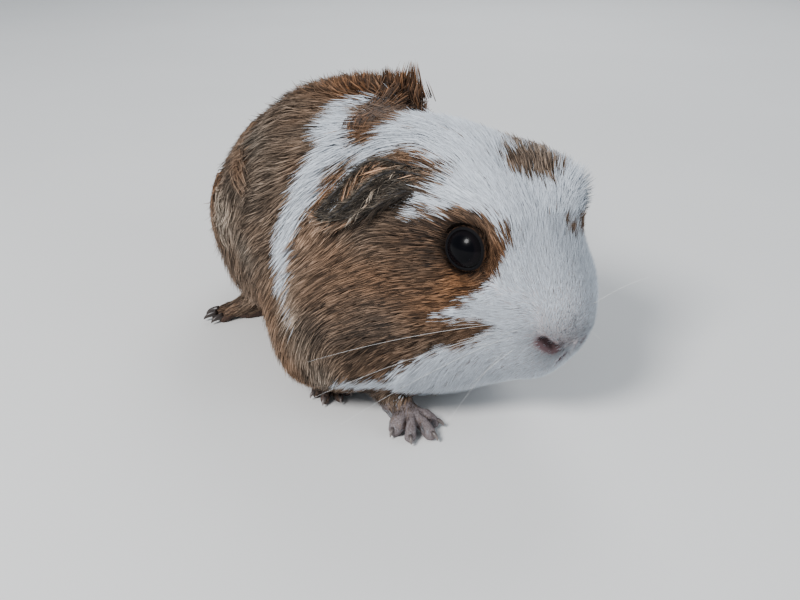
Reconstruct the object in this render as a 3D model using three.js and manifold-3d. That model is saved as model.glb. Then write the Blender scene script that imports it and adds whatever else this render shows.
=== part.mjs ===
// A young guinea pig with a rough coat, crouching on all four feet with its head turned to its left.
// Millimetres, +Z up. The animal faces -Y, its left side is towards +X, and it rests on the plane Z = 0.
//
// Each fleshy form is a blend of ellipsoids and round cones, wrapped by a net of rays cast from a line
// inside it. The surface is the outside of the coat, out to the tips of the hair. The body is then parted
// by thin cuts into the parts that a person would name.
import * as THREE from "three";
import { mergeVertices } from "three/addons/utils/BufferGeometryUtils.js";
import Module from "manifold-3d";

// ---------------------------------------------------------------- driving dimensions
const GAP = 0.32; // between neighbouring parts

const TRUNK = { halfWidth: 42, centreHeight: 40, halfHeight: 36.5 };
const CREST_HEIGHT = 86; // of the standing ridge of hair across the back

const HEAD = {
  at: new THREE.Vector3(34.6, -51.2, 52.9), // midway between the eyes
  turn: 28.7, // degrees to the animal's left
  pitch: 20, // degrees nose down
  roll: -1,
};
const EYE = { forward: 0, lateral: 15.6, up: 1, radius: 6.5 };
const EAR = { halfWidth: 7.2, thickness: 1.5, cup: 3.4, standOff: 1.8 };

const SOLE_SINK = 0.7; // how far toes and pads would dip below the floor before they are cut flat
const CLAW_RADIUS = 0.85;

const RING_SEGMENTS = 30; // rays round each ring of the body

const COLOURS = {
  tan: 0x9a6a42,
  white: 0xe4e6e6,
  ear: 0x5a4c46,
  eye: 0x0a0909,
  foot: 0x9b8577,
  claw: 0xb6a595,
  darkClaw: 0x2a2422,
};

// ---------------------------------------------------------------- soft forms
// Each is a function from a point to its distance from the surface, negative inside.
const vec = (x, y, z) => new THREE.Vector3(x, y, z);
const radians = THREE.MathUtils.degToRad;
const UP = vec(0, 0, 1);

// A power above 2 squares the ellipsoid off, towards a box with round edges.
function ellipsoid(centre, radii, power = 2) {
  const away = new THREE.Vector3();
  return (p) => {
    const distance = away.subVectors(p, centre).length();
    const [x, y, z] = away.divide(radii).toArray().map(Math.abs);
    const k = (x ** power + y ** power + z ** power) ** (1 / power);
    return k < 1e-6 ? -Math.min(radii.x, radii.y, radii.z) : distance * (1 - 1 / k);
  };
}

function roundCone(start, end, startRadius, endRadius) {
  const axis = new THREE.Vector3().subVectors(end, start);
  const away = new THREE.Vector3();
  return (p) => {
    away.subVectors(p, start);
    const t = THREE.MathUtils.clamp(away.dot(axis) / axis.lengthSq(), 0, 1);
    return away.addScaledVector(axis, -t).length() - THREE.MathUtils.lerp(startRadius, endRadius, t);
  };
}

function blend(softness, ...forms) {
  return (p) =>
    forms.reduce((nearest, form) => {
      const distance = form(p);
      const overlap = Math.max(softness - Math.abs(nearest - distance), 0) / softness;
      return Math.min(nearest, distance) - (overlap * overlap * softness) / 4;
    }, Infinity);
}

// A form that is described in a frame of its own, such as the head's.
function placed(matrix, form) {
  const back = matrix.clone().invert();
  const local = new THREE.Vector3();
  return (p) => form(local.copy(p).applyMatrix4(back));
}

// ---------------------------------------------------------------- nets of rays
// Steps outwards from a point inside the form until it leaves it.
function surfacePoint(form, origin, direction, level) {
  const at = (t) => origin.clone().addScaledVector(direction, t);
  const farthest = 140;
  let inside = 0;
  let outside = 0;
  while (outside < farthest && form(at(outside)) < level) {
    inside = outside;
    outside += Math.max(0.4, 0.6 * (level - form(at(outside))));
  }
  for (let i = 0; i < 18; i++) {
    const middle = (inside + outside) / 2;
    if (form(at(middle)) < level) inside = middle;
    else outside = middle;
  }
  return at((inside + outside) / 2);
}

// Wraps a form: rays fan out round both ends of a line inside it, and stand across it in between.
function wrap(form, line, { rings, fan, segments, level = 0 }) {
  const curve = new THREE.CatmullRomCurve3(line);
  const points = [];
  const addRing = (t, lean) => {
    const origin = curve.getPointAt(t);
    const tangent = curve.getTangentAt(t);
    const side = new THREE.Vector3().crossVectors(tangent, UP).normalize();
    const upright = new THREE.Vector3().crossVectors(side, tangent);
    const atPole = Math.abs(lean) > 89.9;
    for (let i = 0; i < (atPole ? 1 : segments); i++) {
      const angle = (2 * Math.PI * i) / segments;
      const across = Math.cos(radians(lean));
      const direction = new THREE.Vector3()
        .addScaledVector(side, across * Math.cos(angle))
        .addScaledVector(upright, across * Math.sin(angle))
        .addScaledVector(tangent, Math.sin(radians(lean)));
      points.push(surfacePoint(form, origin, direction, level));
    }
  };
  for (let i = 0; i < fan; i++) addRing(0, -90 + (90 * i) / fan);
  for (let i = 0; i <= rings; i++) addRing(i / rings, 0);
  for (let i = 1; i <= fan; i++) addRing(1, (90 * i) / fan);

  const triangles = [];
  const ringCount = (points.length - 2) / segments;
  const last = points.length - 1;
  const index = (ring, i) => 1 + ring * segments + (i % segments);
  for (let i = 0; i < segments; i++) {
    triangles.push(0, index(0, i), index(0, i + 1));
    triangles.push(last, index(ringCount - 1, i + 1), index(ringCount - 1, i));
    for (let ring = 0; ring < ringCount - 1; ring++) {
      triangles.push(index(ring, i), index(ring + 1, i), index(ring, i + 1));
      triangles.push(index(ring, i + 1), index(ring + 1, i), index(ring + 1, i + 1));
    }
  }
  return new THREE.BufferGeometry().setFromPoints(points).setIndex(triangles);
}

// ---------------------------------------------------------------- solids: joining and cutting
const wasm = await Module();
wasm.setup();

function solid(geometry) {
  const bare = geometry.clone();
  bare.deleteAttribute("normal");
  bare.deleteAttribute("uv");
  const merged = mergeVertices(bare, 1e-4);
  return new wasm.Manifold(
    new wasm.Mesh({
      numProp: 3,
      vertProperties: merged.attributes.position.array,
      triVerts: new Uint32Array(merged.index.array),
    }),
  );
}

function geometryOf(manifold) {
  const mesh = manifold.getMesh();
  const geometry = new THREE.BufferGeometry();
  geometry.setAttribute("position", new THREE.BufferAttribute(mesh.vertProperties, 3));
  geometry.setIndex(new THREE.BufferAttribute(mesh.triVerts, 1));
  geometry.computeVertexNormals();
  return geometry;
}

// A round cone that keeps its own middle line, and the solid that wraps such a form.
const roundForm = (start, end, ...radii) => ({ form: roundCone(start, end, ...radii), line: [start, end] });
const wrapped = ({ form, line }, net) => solid(wrap(form, line, net));

// A thin slab across a line, used as a parting cut.
function slab(centre, normal) {
  const side = 300;
  const turn = new THREE.Quaternion().setFromUnitVectors(UP, normal.clone().normalize());
  return solid(new THREE.BoxGeometry(side, side, GAP).applyQuaternion(turn).translate(...centre.toArray()));
}

const underFloor = solid(new THREE.BoxGeometry(400, 400, 60).translate(0, 0, -30));

// ---------------------------------------------------------------- head
// The head's own frame has +X forward, +Y left and +Z up.
const headMatrix = new THREE.Matrix4()
  .makeTranslation(HEAD.at)
  .multiply(new THREE.Matrix4().makeRotationZ(radians(HEAD.turn - 90)))
  .multiply(new THREE.Matrix4().makeRotationY(radians(HEAD.pitch)))
  .multiply(new THREE.Matrix4().makeRotationX(radians(HEAD.roll)));
const inHead = (x, y, z) => vec(x, y, z).applyMatrix4(headMatrix);
const headDirection = (x, y, z) => vec(x, y, z).transformDirection(headMatrix);
const pair = (form) => [form(1), form(-1)];

const headForm = placed(
  headMatrix,
  blend(
    7,
    ellipsoid(vec(-16, -1, 1), vec(21, 20, 15.5)), // cranium
    roundCone(vec(0, 0, -2), vec(17, 0, -9), 15, 12), // bridge of the nose
    ...pair((side) => ellipsoid(vec(13, side * 7, -14), vec(12, 9, 10))), // whisker pads
    ellipsoid(vec(20.5, 0, -14.2), vec(8.5, 8.2, 9.3)), // nose
    ellipsoid(vec(12.5, 0, -25), vec(14, 12, 10.5)), // chin
    ...pair((side) => ellipsoid(vec(-14, side * 14, -14), vec(21, 14, 17))), // cheeks
    ...pair((side) => ellipsoid(vec(-1, side * 12, 2), vec(11, 6.5, 9))), // brow and eye socket
    ...pair((side) => ellipsoid(vec(10, side * 10.5, -6), vec(10, 8, 8))), // cheekbones
    ellipsoid(vec(-6, 0, -29), vec(20, 18, 13)), // throat
    ellipsoid(vec(-4.5, 15.5, 11), vec(11, 8.5, 5.5)), // hair swept out over the left temple
    ellipsoid(vec(-16, 17, 6.5), vec(11, 8, 8.5)), // and up round the left ear
  ),
);

// ---------------------------------------------------------------- trunk
const trunkForm = blend(
  12,
  ellipsoid(vec(-3, 47, TRUNK.centreHeight - 3), vec(TRUNK.halfWidth - 5, 43, TRUNK.halfHeight - 2), 2.1), // rump
  ellipsoid(vec(-3, 16, TRUNK.centreHeight), vec(TRUNK.halfWidth, 40, TRUNK.halfHeight)), // barrel
  ellipsoid(vec(7, -14, TRUNK.centreHeight + 2), vec(36, 28, 35), 2.2), // shoulders
  ellipsoid(vec(11, -36, 24.5), vec(31, 29, 20)), // breast
  ellipsoid(vec(20, -27, 51.5), vec(25, 24, 25.5)), // neck
  ...pair((side) => ellipsoid(vec(-3 + side * 24, 32, 22.5), vec(17, 30, 18), 2.6)), // haunches
  ...pair((side) => ellipsoid(vec(4 + side * 20, -23, 20), vec(15.5, 29, 17), 2.6)), // elbows
  ellipsoid(vec(-34, 26, 40), vec(10, 14, 8)), // tuft below the whorl
);

// Standing hair: a crest across the back, which runs on down the right flank round a whorl.
const crestForm = blend(
  6,
  roundCone(vec(-12, 25, CREST_HEIGHT - 17), vec(14, 15.5, CREST_HEIGHT - 7), 8, 7),
  roundCone(vec(-12, 25, CREST_HEIGHT - 17), vec(-30, 29, 52), 6, 5),
);
const bodyForm = blend(8, blend(14, trunkForm, crestForm), headForm);

const bodyLine = [
  vec(-4, 47, 37),
  vec(-1, 18, 39),
  vec(8, -10, 43),
  vec(17.5, -25, 45),
  vec(27, -40, 45),
  vec(36.5, -55, 42),
];

const bodyNet = { rings: 30, fan: 6, segments: RING_SEGMENTS };
const bodySolid = solid(wrap(bodyForm, bodyLine, bodyNet));
const bodyClearance = solid(wrap(bodyForm, bodyLine, { ...bodyNet, level: GAP }));

// ---------------------------------------------------------------- eyes
function eyeball(side, radius) {
  const centre = inHead(EYE.forward, side * EYE.lateral, EYE.up);
  return new THREE.SphereGeometry(radius, 14, 9).translate(...centre.toArray());
}

// ---------------------------------------------------------------- feet, toes and claws
// heading and toe angles are in degrees to the animal's left of straight ahead.
const FEET = [
  {
    name: "fore_left",
    heel: vec(3.6, -50.5, 3.2),
    ball: vec(5, -54.5, 2.9),
    radii: [3.8, 3.8],
    knuckle: 2.2,
    toeRadius: 2.1,
    toes: [[-36, 6.6], [-2, 9.2], [32, 10.4], [68, 8]],
    claw: { length: 3, colour: "claw" },
  },
  {
    name: "fore_right",
    heel: vec(-11.6, -26.5, 3.2),
    ball: vec(-12.6, -30.5, 2.9),
    radii: [3.6, 3.6],
    knuckle: 2.2,
    toeRadius: 1.9,
    toes: [[26, 6.4], [3, 9.2], [-21, 10.4], [-46, 8.2]],
    claw: { length: 3, colour: "claw" },
  },
  {
    name: "hind_left",
    heel: vec(29, 40, 3.4),
    ball: vec(33, 21, 3.3),
    radii: [4.1, 4.2],
    knuckle: 2.6,
    toeRadius: 1.8,
    toes: [[-6, 8.6], [12, 10], [31, 8.2]],
    claw: { length: 4.6, colour: "darkClaw" },
  },
  {
    name: "hind_right",
    heel: vec(-21, 27, 3.4),
    ball: vec(-39, 22.5, 3.3),
    radii: [4.1, 4.2],
    knuckle: 2.6,
    toeRadius: 1.8,
    toes: [[-62, 8.2], [-78, 9.6], [-96, 8.6]],
    claw: { length: 4.6, colour: "darkClaw" },
  },
];

function onward(angle, distance) {
  return vec(Math.sin(radians(angle)), -Math.cos(radians(angle)), 0).multiplyScalar(distance);
}

const soleNet = { rings: 2, fan: 2, segments: 10 };
const toeNet = { rings: 2, fan: 1, segments: 6 };
const clawNet = { rings: 2, fan: 1, segments: 5 };

function toeForm(foot, angle, length) {
  const radius = foot.toeRadius;
  const root = foot.ball.clone().add(onward(angle, foot.knuckle)).setZ(radius + 1.3);
  const knuckle = root.clone().add(onward(angle, 0.5 * length)).setZ(radius + 0.9);
  const tip = root.clone().add(onward(angle, length - radius)).setZ(radius - SOLE_SINK);
  const form = blend(
    1.5,
    roundCone(root, knuckle, radius + 0.1, radius),
    roundCone(knuckle, tip, radius, radius - 0.35),
  );
  return { form, line: [root, knuckle, tip], tip, angle };
}

// Each claw starts inside the tip of its toe, runs level and then turns down to just above the floor.
function clawForm({ tip, angle }, length) {
  const buried = 0.4;
  const start = tip.clone().add(onward(angle, -buried)).setZ(tip.z + 0.7);
  const bend = start.clone().add(onward(angle, 0.5 * length));
  const end = start.clone().add(onward(angle, length + buried)).setZ(0.75);
  const form = blend(
    0.5,
    roundCone(start, bend, CLAW_RADIUS + 0.1, CLAW_RADIUS - 0.15),
    roundCone(bend, end, CLAW_RADIUS - 0.15, 0.28),
  );
  return { form, line: [start, bend, end] };
}

function footSolids(foot) {
  const sole = roundForm(foot.heel, foot.ball, ...foot.radii);
  const toes = foot.toes.map(([angle, length]) => toeForm(foot, angle, length));
  const grown = (level) =>
    toes.reduce(
      (whole, toe) => whole.add(wrapped(toe, { ...toeNet, level })),
      wrapped(sole, { ...soleNet, level }),
    );
  const clearance = grown(GAP);
  const claws = toes.map((toe) => wrapped(clawForm(toe, foot.claw.length), clawNet).subtract(clearance));
  return { whole: grown(0).subtract(underFloor), clearance, claws };
}

const feet = FEET.map((foot) => ({ ...foot, ...footSolids(foot) }));

// ---------------------------------------------------------------- legs
// The forearms stand below the breast. Each leg is the flesh inside a round region about it.
const LEGS = [
  {
    name: "foreleg_left",
    region: roundForm(vec(4.5, -36, 17), vec(2.4, -51.5, 5), 11, 8.5),
    arm: roundForm(vec(-2.5, -39.5, 13), vec(2.5, -50.4, 5.4), 7.5, 4.7),
  },
  {
    name: "foreleg_right",
    region: roundForm(vec(-14, -11, 22), vec(-12.5, -26.5, 5), 12.5, 8.5),
    arm: roundForm(vec(-11, -16, 20), vec(-11.8, -27, 5), 8, 4.2),
  },
  { name: "hindleg_left", region: roundForm(vec(30, 22, 24), vec(30, 38, 16), 18, 17) },
  { name: "hindleg_right", region: roundForm(vec(-38, 24, 24), vec(-34, 36, 16), 18, 17) },
];

const legNet = { rings: 2, fan: 2, segments: 10 };
const legs = LEGS.map(({ name, region, arm }) => ({
  name,
  region: wrapped(region, legNet),
  regionGrown: wrapped(region, { ...legNet, level: GAP }),
  arm: arm && wrapped(arm, legNet),
}));

// ---------------------------------------------------------------- ears
// A drooping petal, described for the right ear in the head's frame and mirrored for the left one.
// u runs from root to tip and v from the lower edge to the upper one.
const EAR_STEPS = 7;
const earSpine = new THREE.QuadraticBezierCurve3(
  vec(-18.5, -20.5, 8.5),
  vec(-29, -26, 5),
  vec(-36.5, -36, -11.5),
);
const LEFT_EAR_LOWERED = vec(-2, -1, -4); // it lies closer to the neck than the right one
const earOutward = vec(0.1, -0.82, 0.52).normalize();

function earPoint(u, v, side, face) {
  const across = new THREE.Vector3().crossVectors(earOutward, earSpine.getTangent(u)).normalize();
  const halfWidth = EAR.halfWidth * Math.sin(Math.PI * (0.16 + 0.8 * u)) ** 0.7;
  const cup = EAR.cup * v * v * Math.sin(Math.PI * Math.min(1, 0.15 + u));
  return earSpine
    .getPoint(u)
    .addScaledVector(across, halfWidth * v)
    .addScaledVector(earOutward, EAR.standOff + cup + (face * EAR.thickness) / 2)
    .multiply(vec(1, -side, 1))
    .add(side > 0 ? LEFT_EAR_LOWERED : vec(0, 0, 0))
    .applyMatrix4(headMatrix);
}

function earGeometry(side) {
  const n = EAR_STEPS;
  const points = [];
  for (const face of [1, -1]) {
    for (let i = 0; i <= n; i++) {
      for (let j = 0; j <= n; j++) points.push(earPoint(i / n, (2 * j) / n - 1, side, face));
    }
  }
  const triangles = [];
  const outer = (i, j) => i * (n + 1) + j;
  const inner = (i, j) => outer(i, j) + (n + 1) ** 2;
  const quad = (a, b, c, d) => triangles.push(...(side > 0 ? [a, b, c, a, c, d] : [a, c, b, a, d, c]));
  for (let i = 0; i < n; i++) {
    for (let j = 0; j < n; j++) {
      quad(outer(i, j), outer(i, j + 1), outer(i + 1, j + 1), outer(i + 1, j));
      quad(inner(i, j), inner(i + 1, j), inner(i + 1, j + 1), inner(i, j + 1));
    }
    quad(outer(i, 0), outer(i + 1, 0), inner(i + 1, 0), inner(i, 0));
    quad(outer(i, n), inner(i, n), inner(i + 1, n), outer(i + 1, n));
    quad(outer(0, i), inner(0, i), inner(0, i + 1), outer(0, i + 1));
    quad(outer(n, i), outer(n, i + 1), inner(n, i + 1), inner(n, i));
  }
  return new THREE.BufferGeometry().setFromPoints(points).setIndex(triangles);
}

// ---------------------------------------------------------------- parting the body
const middleY = (piece) => piece.boundingBox().min[1] + piece.boundingBox().max[1];
const fromRearToFront = (manifold) =>
  manifold
    .decompose()
    .filter((piece) => piece.volume() > 20)
    .sort((a, b) => middleY(b) - middleY(a));
const without = (whole, ...others) => others.reduce((rest, other) => rest.subtract(other), whole);

const arms = legs.flatMap(({ arm }) => arm ?? []);
const flesh = without(
  arms.reduce((whole, arm) => whole.add(arm), bodySolid),
  ...pair((side) => solid(eyeball(side, EYE.radius + GAP))),
  ...feet.map(({ clearance }) => clearance),
  underFloor,
);
const lengths = fromRearToFront(
  without(
    flesh,
    ...legs.map(({ regionGrown }) => regionGrown),
    slab(vec(-3, 38, 40), vec(0, -1, 0)),
    slab(vec(5, -6, 42), vec(0.3, -1, 0)),
    slab(inHead(-29, 0, -6), headDirection(1, 0, 0.1)),
  ),
);
const [rump, trunk, neck, front] = lengths;
const [breast, head] = fromRearToFront(front.subtract(slab(inHead(0, 0, -33), headDirection(0, 0, 1))));

// ---------------------------------------------------------------- assembly
const guineaPig = new THREE.Group();
const finishes = Object.fromEntries(
  Object.entries(COLOURS).map(([name, color]) => [
    name,
    new THREE.MeshStandardMaterial({ color, roughness: name === "eye" ? 0.08 : 0.85, metalness: 0 }),
  ]),
);

function add(name, shape, finish) {
  const mesh = new THREE.Mesh(shape.isBufferGeometry ? shape : geometryOf(shape), finishes[finish]);
  mesh.name = name;
  guineaPig.add(mesh);
}

add("rump", rump, "tan");
add("trunk", trunk, "tan");
add("neck", neck, "white");
add("breast", breast, "white");
add("head", head, "white");
for (const [name, side] of [["left", 1], ["right", -1]]) {
  add(`eye_${name}`, eyeball(side, EYE.radius), "eye");
  add(`ear_${name}`, solid(earGeometry(side)).subtract(bodyClearance), "ear");
}
for (const leg of legs) add(leg.name, flesh.intersect(leg.region), "tan");
for (const foot of feet) {
  add(`foot_${foot.name}`, foot.whole, "foot");
  foot.claws.forEach((claw, i) => add(`claw_${foot.name}_${i + 1}`, claw, foot.claw.colour));
}

const box = new THREE.Box3().setFromObject(guineaPig);
const centre = box.getCenter(vec(0, 0, 0));
guineaPig.position.set(-centre.x, -centre.y, -box.min.z);

export default guineaPig;
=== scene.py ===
"""A life-size young guinea pig with a rough brown and white coat, crouching with its head turned.

Row frame: +Z up, the body faces -Y, its left side is towards +X. Everything here is worked out in
millimetres and scaled to metres as each mesh is made.
"""

import math

import bmesh
import bpy
import numpy as np
from mathutils import Matrix, Vector
from mathutils.kdtree import KDTree


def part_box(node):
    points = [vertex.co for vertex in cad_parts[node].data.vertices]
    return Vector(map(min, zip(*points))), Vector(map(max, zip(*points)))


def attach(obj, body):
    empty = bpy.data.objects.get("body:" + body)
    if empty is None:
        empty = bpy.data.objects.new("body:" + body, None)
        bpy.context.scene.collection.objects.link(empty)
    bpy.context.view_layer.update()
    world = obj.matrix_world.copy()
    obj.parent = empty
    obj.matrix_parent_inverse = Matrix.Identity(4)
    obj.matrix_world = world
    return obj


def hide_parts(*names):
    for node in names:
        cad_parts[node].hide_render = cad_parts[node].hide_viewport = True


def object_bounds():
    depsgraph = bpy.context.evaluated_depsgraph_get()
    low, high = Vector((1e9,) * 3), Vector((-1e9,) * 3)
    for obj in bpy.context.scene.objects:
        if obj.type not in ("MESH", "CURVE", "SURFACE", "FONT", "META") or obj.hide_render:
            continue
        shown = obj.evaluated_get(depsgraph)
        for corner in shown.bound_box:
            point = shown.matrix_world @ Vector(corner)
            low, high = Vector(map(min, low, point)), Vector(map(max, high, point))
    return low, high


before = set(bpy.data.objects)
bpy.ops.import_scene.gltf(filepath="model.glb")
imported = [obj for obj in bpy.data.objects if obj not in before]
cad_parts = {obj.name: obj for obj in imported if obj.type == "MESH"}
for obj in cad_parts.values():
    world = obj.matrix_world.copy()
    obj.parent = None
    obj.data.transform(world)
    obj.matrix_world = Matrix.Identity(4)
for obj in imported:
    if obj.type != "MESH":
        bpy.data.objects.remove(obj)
CAD_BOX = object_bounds()
MM = 0.001
DRAW = np.random.default_rng(20)


# ---- small tools
def unit(v):
    return v / np.maximum(np.linalg.norm(v, axis=-1, keepdims=True), 1e-9)


def norm(v):
    return np.linalg.norm(v, axis=-1)


def smooth_step(low, high, x):
    t = np.clip((x - low) / (high - low), 0, 1)
    return t * t * (3 - 2 * t)


def box_mm(node):
    low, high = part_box(node)
    return np.array(low) / MM, np.array(high) / MM


def middle(node):
    low, high = box_mm(node)
    return (low + high) / 2


def read(collection, name, width, kind=np.float32):
    values = np.empty(len(collection) * width, kind)
    collection.foreach_get(name, values)
    return values.reshape(-1, width)


def points_of(mesh):
    return read(mesh.vertices, "co", 3).astype(float) / MM


def normals_of(mesh):
    return read(mesh.vertex_normals, "vector", 3).astype(float)


def values_of(mesh, name, part="value", width=1):
    return read(mesh.attributes[name].data, part, width).astype(float).squeeze()


def store_values(mesh, name, values, kind="FLOAT", part="value"):
    layer = mesh.attributes.new(name, kind, "POINT")
    layer.data.foreach_set(part, np.asarray(values, np.float32).ravel())


def add_object(name, data):
    obj = bpy.data.objects.new(name, data)
    bpy.context.scene.collection.objects.link(obj)
    return obj


def add_piece(mesh, material, slot, *replaced):
    """Shows a mesh as a piece of the model, in place of its CAD nodes."""
    mesh.materials.append(material)
    piece = add_object(mesh.name, mesh)
    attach(piece, "root")
    if replaced:
        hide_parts(*replaced)


def triangle_mesh(name, points, triangles):
    mesh = bpy.data.meshes.new(name)
    mesh.vertices.add(len(points))
    mesh.vertices.foreach_set("co", (points * MM).astype(np.float32).ravel())
    mesh.loops.add(triangles.size)
    mesh.loops.foreach_set("vertex_index", triangles.astype(np.int32).ravel())
    mesh.polygons.add(len(triangles))
    mesh.polygons.foreach_set("loop_start", np.arange(0, triangles.size, 3, dtype=np.int32))
    mesh.polygons.foreach_set("use_smooth", np.ones(len(triangles), bool))
    mesh.update(calc_edges=True)
    return mesh


def tree_of(points):
    tree = KDTree(len(points))
    for i, p in enumerate(points):
        tree.insert(p, i)
    tree.balance()
    return tree


def nearest(tree, points):
    return np.array([tree.find(p)[1] for p in points])


def ripples(points, scale, seed):
    """A smooth value between about -1 and 1 that wanders over a length of scale."""
    draw = np.random.default_rng(seed)
    waves = unit(draw.normal(size=(7, 3))) * draw.uniform(0.7, 1.6, (7, 1)) * 2 * math.pi / scale
    return np.sin(points @ waves.T + draw.uniform(0, 6.28, 7)).sum(axis=1) / 4.2


def nearness(points, place, radius):
    """1 at a place, falling to 0 over its radius."""
    return np.exp(-((points - np.array(place)) ** 2).sum(axis=1) / radius**2)


def gap_to_run(points, start, end, farthest=1):
    """How far points lie from a straight run, and at which share of its length."""
    start, run = np.array(start, float), np.array(end, float) - np.array(start, float)
    t = np.clip((points - start) @ run / (run @ run), 0, farthest)
    return norm(points - start - t[:, None] * run), t


def depth_inside(points, centre, radii):
    """Roughly how far points lie inside an ellipsoid, in millimetres."""
    radii = np.array(radii, float)
    return (1 - norm((points - np.array(centre)) / radii)) * radii.min()


def depth_in_band(points, band):
    """Roughly how far points lie inside a band, whose rows are a place and the half width there."""
    best = np.full(len(points), -1e9)
    for (*start, r0), (*end, r1) in zip(band, band[1:]):
        gap, t = gap_to_run(points, start, end)
        best = np.maximum(best, r0 + (r1 - r0) * t - gap)
    return best


def depth_in_outline(places, outline):
    """How far flat places lie inside a closed outline, in millimetres; below 0 they are outside."""
    gap = np.full(len(places), 1e9)
    inside = np.zeros(len(places), bool)
    for start, end in zip(outline, outline[1:] + outline[:1]):
        gap = np.minimum(gap, gap_to_run(places, start, end)[0])
        (x, y), (run_x, run_y) = (places - start).T, np.subtract(end, start)
        if run_y:
            inside ^= ((y < 0) != (y < run_y)) & (x < run_x * y / run_y)
    return np.where(inside, gap, -gap)


# ---- the head's frame: +X forward, +Y left, +Z up
HEAD_TURN = math.radians(28.7)
HEAD_PITCH = math.radians(20)
EYE_RADIUS = 6.5
EYE_AT = np.array([0.0, 15.6, 1.0])  # of the left one
GAZE = np.array([0.24, 0.93, 0.26])
SIDES = (1, -1)  # left and right


def head_frame():
    left_eye, right_eye = middle("eye_left"), middle("eye_right")
    left = unit(left_eye - right_eye)
    level = math.cos(HEAD_PITCH)
    ahead = np.array([math.sin(HEAD_TURN) * level, -math.cos(HEAD_TURN) * level, -math.sin(HEAD_PITCH)])
    up = unit(np.cross(ahead, left))
    axes = np.stack([np.cross(left, up), left, up], axis=1)
    return (left_eye + right_eye) / 2 - EYE_AT[2] * up, axes


HEAD_AT, HEAD_AXES = head_frame()


def to_head(points):
    return (points - HEAD_AT) @ HEAD_AXES


def from_head(points):
    return np.asarray(points, float) @ HEAD_AXES.T + HEAD_AT


def turned_to_row(directions):
    return np.asarray(directions, float) @ HEAD_AXES.T


def mirrored(v, side):
    """A point or direction of the left side (side 1), or its mirror image in the head's frame (side -1)."""
    return np.asarray(v, float) * np.array([1, side, 1])


def eye_at(side):
    return from_head(mirrored(EYE_AT, side))


def gaze_of(side):
    return turned_to_row(unit(mirrored(GAZE, side)))


# ---- marks of the coat
# Outlines of the brown cheeks, seen from the side in the head's frame: forward and up.
RIGHT_CHEEK = [
    (7.1, 8.3), (8.6, 6.1), (9.9, 3.6), (10.3, 1.7), (9.5, -1.6), (8.4, -7.5), (5.6, -12.2), (3.8, -17), (9.5, -15),
    (15.8, -12.4), (14.5, -16.5), (12, -21.4), (8.5, -24.2), (6.8, -28.4), (4.8, -33), (1, -40.5), (-3, -45),
    (-14, -47), (-60, -52), (-60, 0), (-39, -2), (-38, 3), (-36.1, 6.5), (-33.6, 8.9), (-29.6, 10.5), (-24.5, 11.8),
    (-19.5, 12.9), (-17, 12.3), (-17.4, 7.5), (-18, 3), (-18.2, -0.5), (-15, 2.3), (-11.9, 4.6), (-9.6, 6.8),
    (-7.3, 8.7), (-3.7, 10.2), (0.9, 10.4), (5.3, 9.2),
]
LEFT_CHEEK = [
    (8, 9.5), (10.5, 7), (9.6, 2), (8.5, -4), (4, -12), (0, -20), (-4, -30), (-12, -40), (-60, -46), (-60, 0),
    (-39, -2), (-36, 3), (-30, 10), (-20, 15), (-8, 15), (-4, 11), (2, 12.5),
]
LEFT_TEMPLE = ((-11, 9.5, 16.5), (8.5, 9, 6))
NEAR_MIDDLE = 9.0  # nothing of the cheeks' patches reaches nearer the head's middle than this
WRISTS = [((-1, -57.5, 7), (8, 8, 5.5)), ((-21, -50, 5), (7, 7, 5))]
THROAT = ((22, -58, 10), (27, 26, 12))
# White bands: the collar on each side, the crown's band down behind the ear, and the strap under the breast.
WHITE_BANDS = [
    [(15.4, -0.4, 77.8, -0.6), (5.6, -0.4, 79.3, 0.8), (-5.1, -0.6, 77.3, 3.6), (-10.9, -13.8, 74.7, 5.6),
     (-11.8, -27.4, 72.4, 5.4), (-17.8, -31.6, 66.8, 5.4), (-20.8, -34, 62, 5.2), (-22.2, -35.8, 58.4, 4.9),
     (-24.7, -34.6, 53.7, 3.8), (-27.5, -33.6, 46.1, 3.8), (-27.9, -35.9, 40.9, 3.4), (-28.3, -40, 36.6, 2.4),
     (-27.6, -45.8, 33.1, 1), (-26, -53, 27.3, -1)],
    [(15.4, -2, 77.8, 1), (26, -14, 71, 7), (35, -24, 56, 7), (36, -38, 38, 6), (33, -52, 24, 5)],
    [(26, -42, 78, 7), (16.2, -40.8, 77.5, 6), (8.4, -39.4, 76.1, 5), (1.9, -37.4, 74.5, 4.2),
     (-3.6, -37.9, 71.6, 3.4), (-7.3, -39.4, 68.6, 3), (-10.8, -40.9, 64.5, 2.7), (-14, -42, 59.1, 1.8)],
    [(-18.7, -57, 12.2, -1.2), (-13.5, -58.5, 12.4, 1.5), (-8.7, -59.5, 13, 3), (-2.4, -63, 14.2, 3.3),
     (5, -66, 15.5, 3.5)],
]
# Brown bands over them: the nape, the stripe above the ear, and the patch behind it.
DARK_BANDS = [
    [(-4, -29.9, 75, 5), (0.3, -22.4, 76.9, 7.5), (9.1, -7.6, 76.6, 6.8), (15, -3, 76.3, 5)],
    [(-7.8, -37, 70.5, 1.6), (-10.1, -38, 67.7, 2.7), (-12.4, -38.8, 65.2, 3.1), (-15.4, -39.3, 62.2, 3.2),
     (-17.8, -39.8, 58.8, 3.2), (-19.2, -39.7, 56, 3.2)],
    [(-16.7, -42.4, 54, 4.5), (-22.1, -39.5, 49.5, 3.6), (-25.5, -41, 43, 2)],
]
# How far forward the brown of the back reaches, by height, on the right side and on the left.
FRONT_HEIGHTS = [8, 20, 27, 33, 37, 41, 50, 58, 67, 72.4, 75, 77.5]
RIGHT_FRONT = [-70, -62, -53, -46, -40, -36, -34.5, -36, -32, -27, -14, -1]
LEFT_FRONT = [-56, -52, -48, -42, -39, -36, -30, -24, -16, -12, -8, -1]


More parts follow.
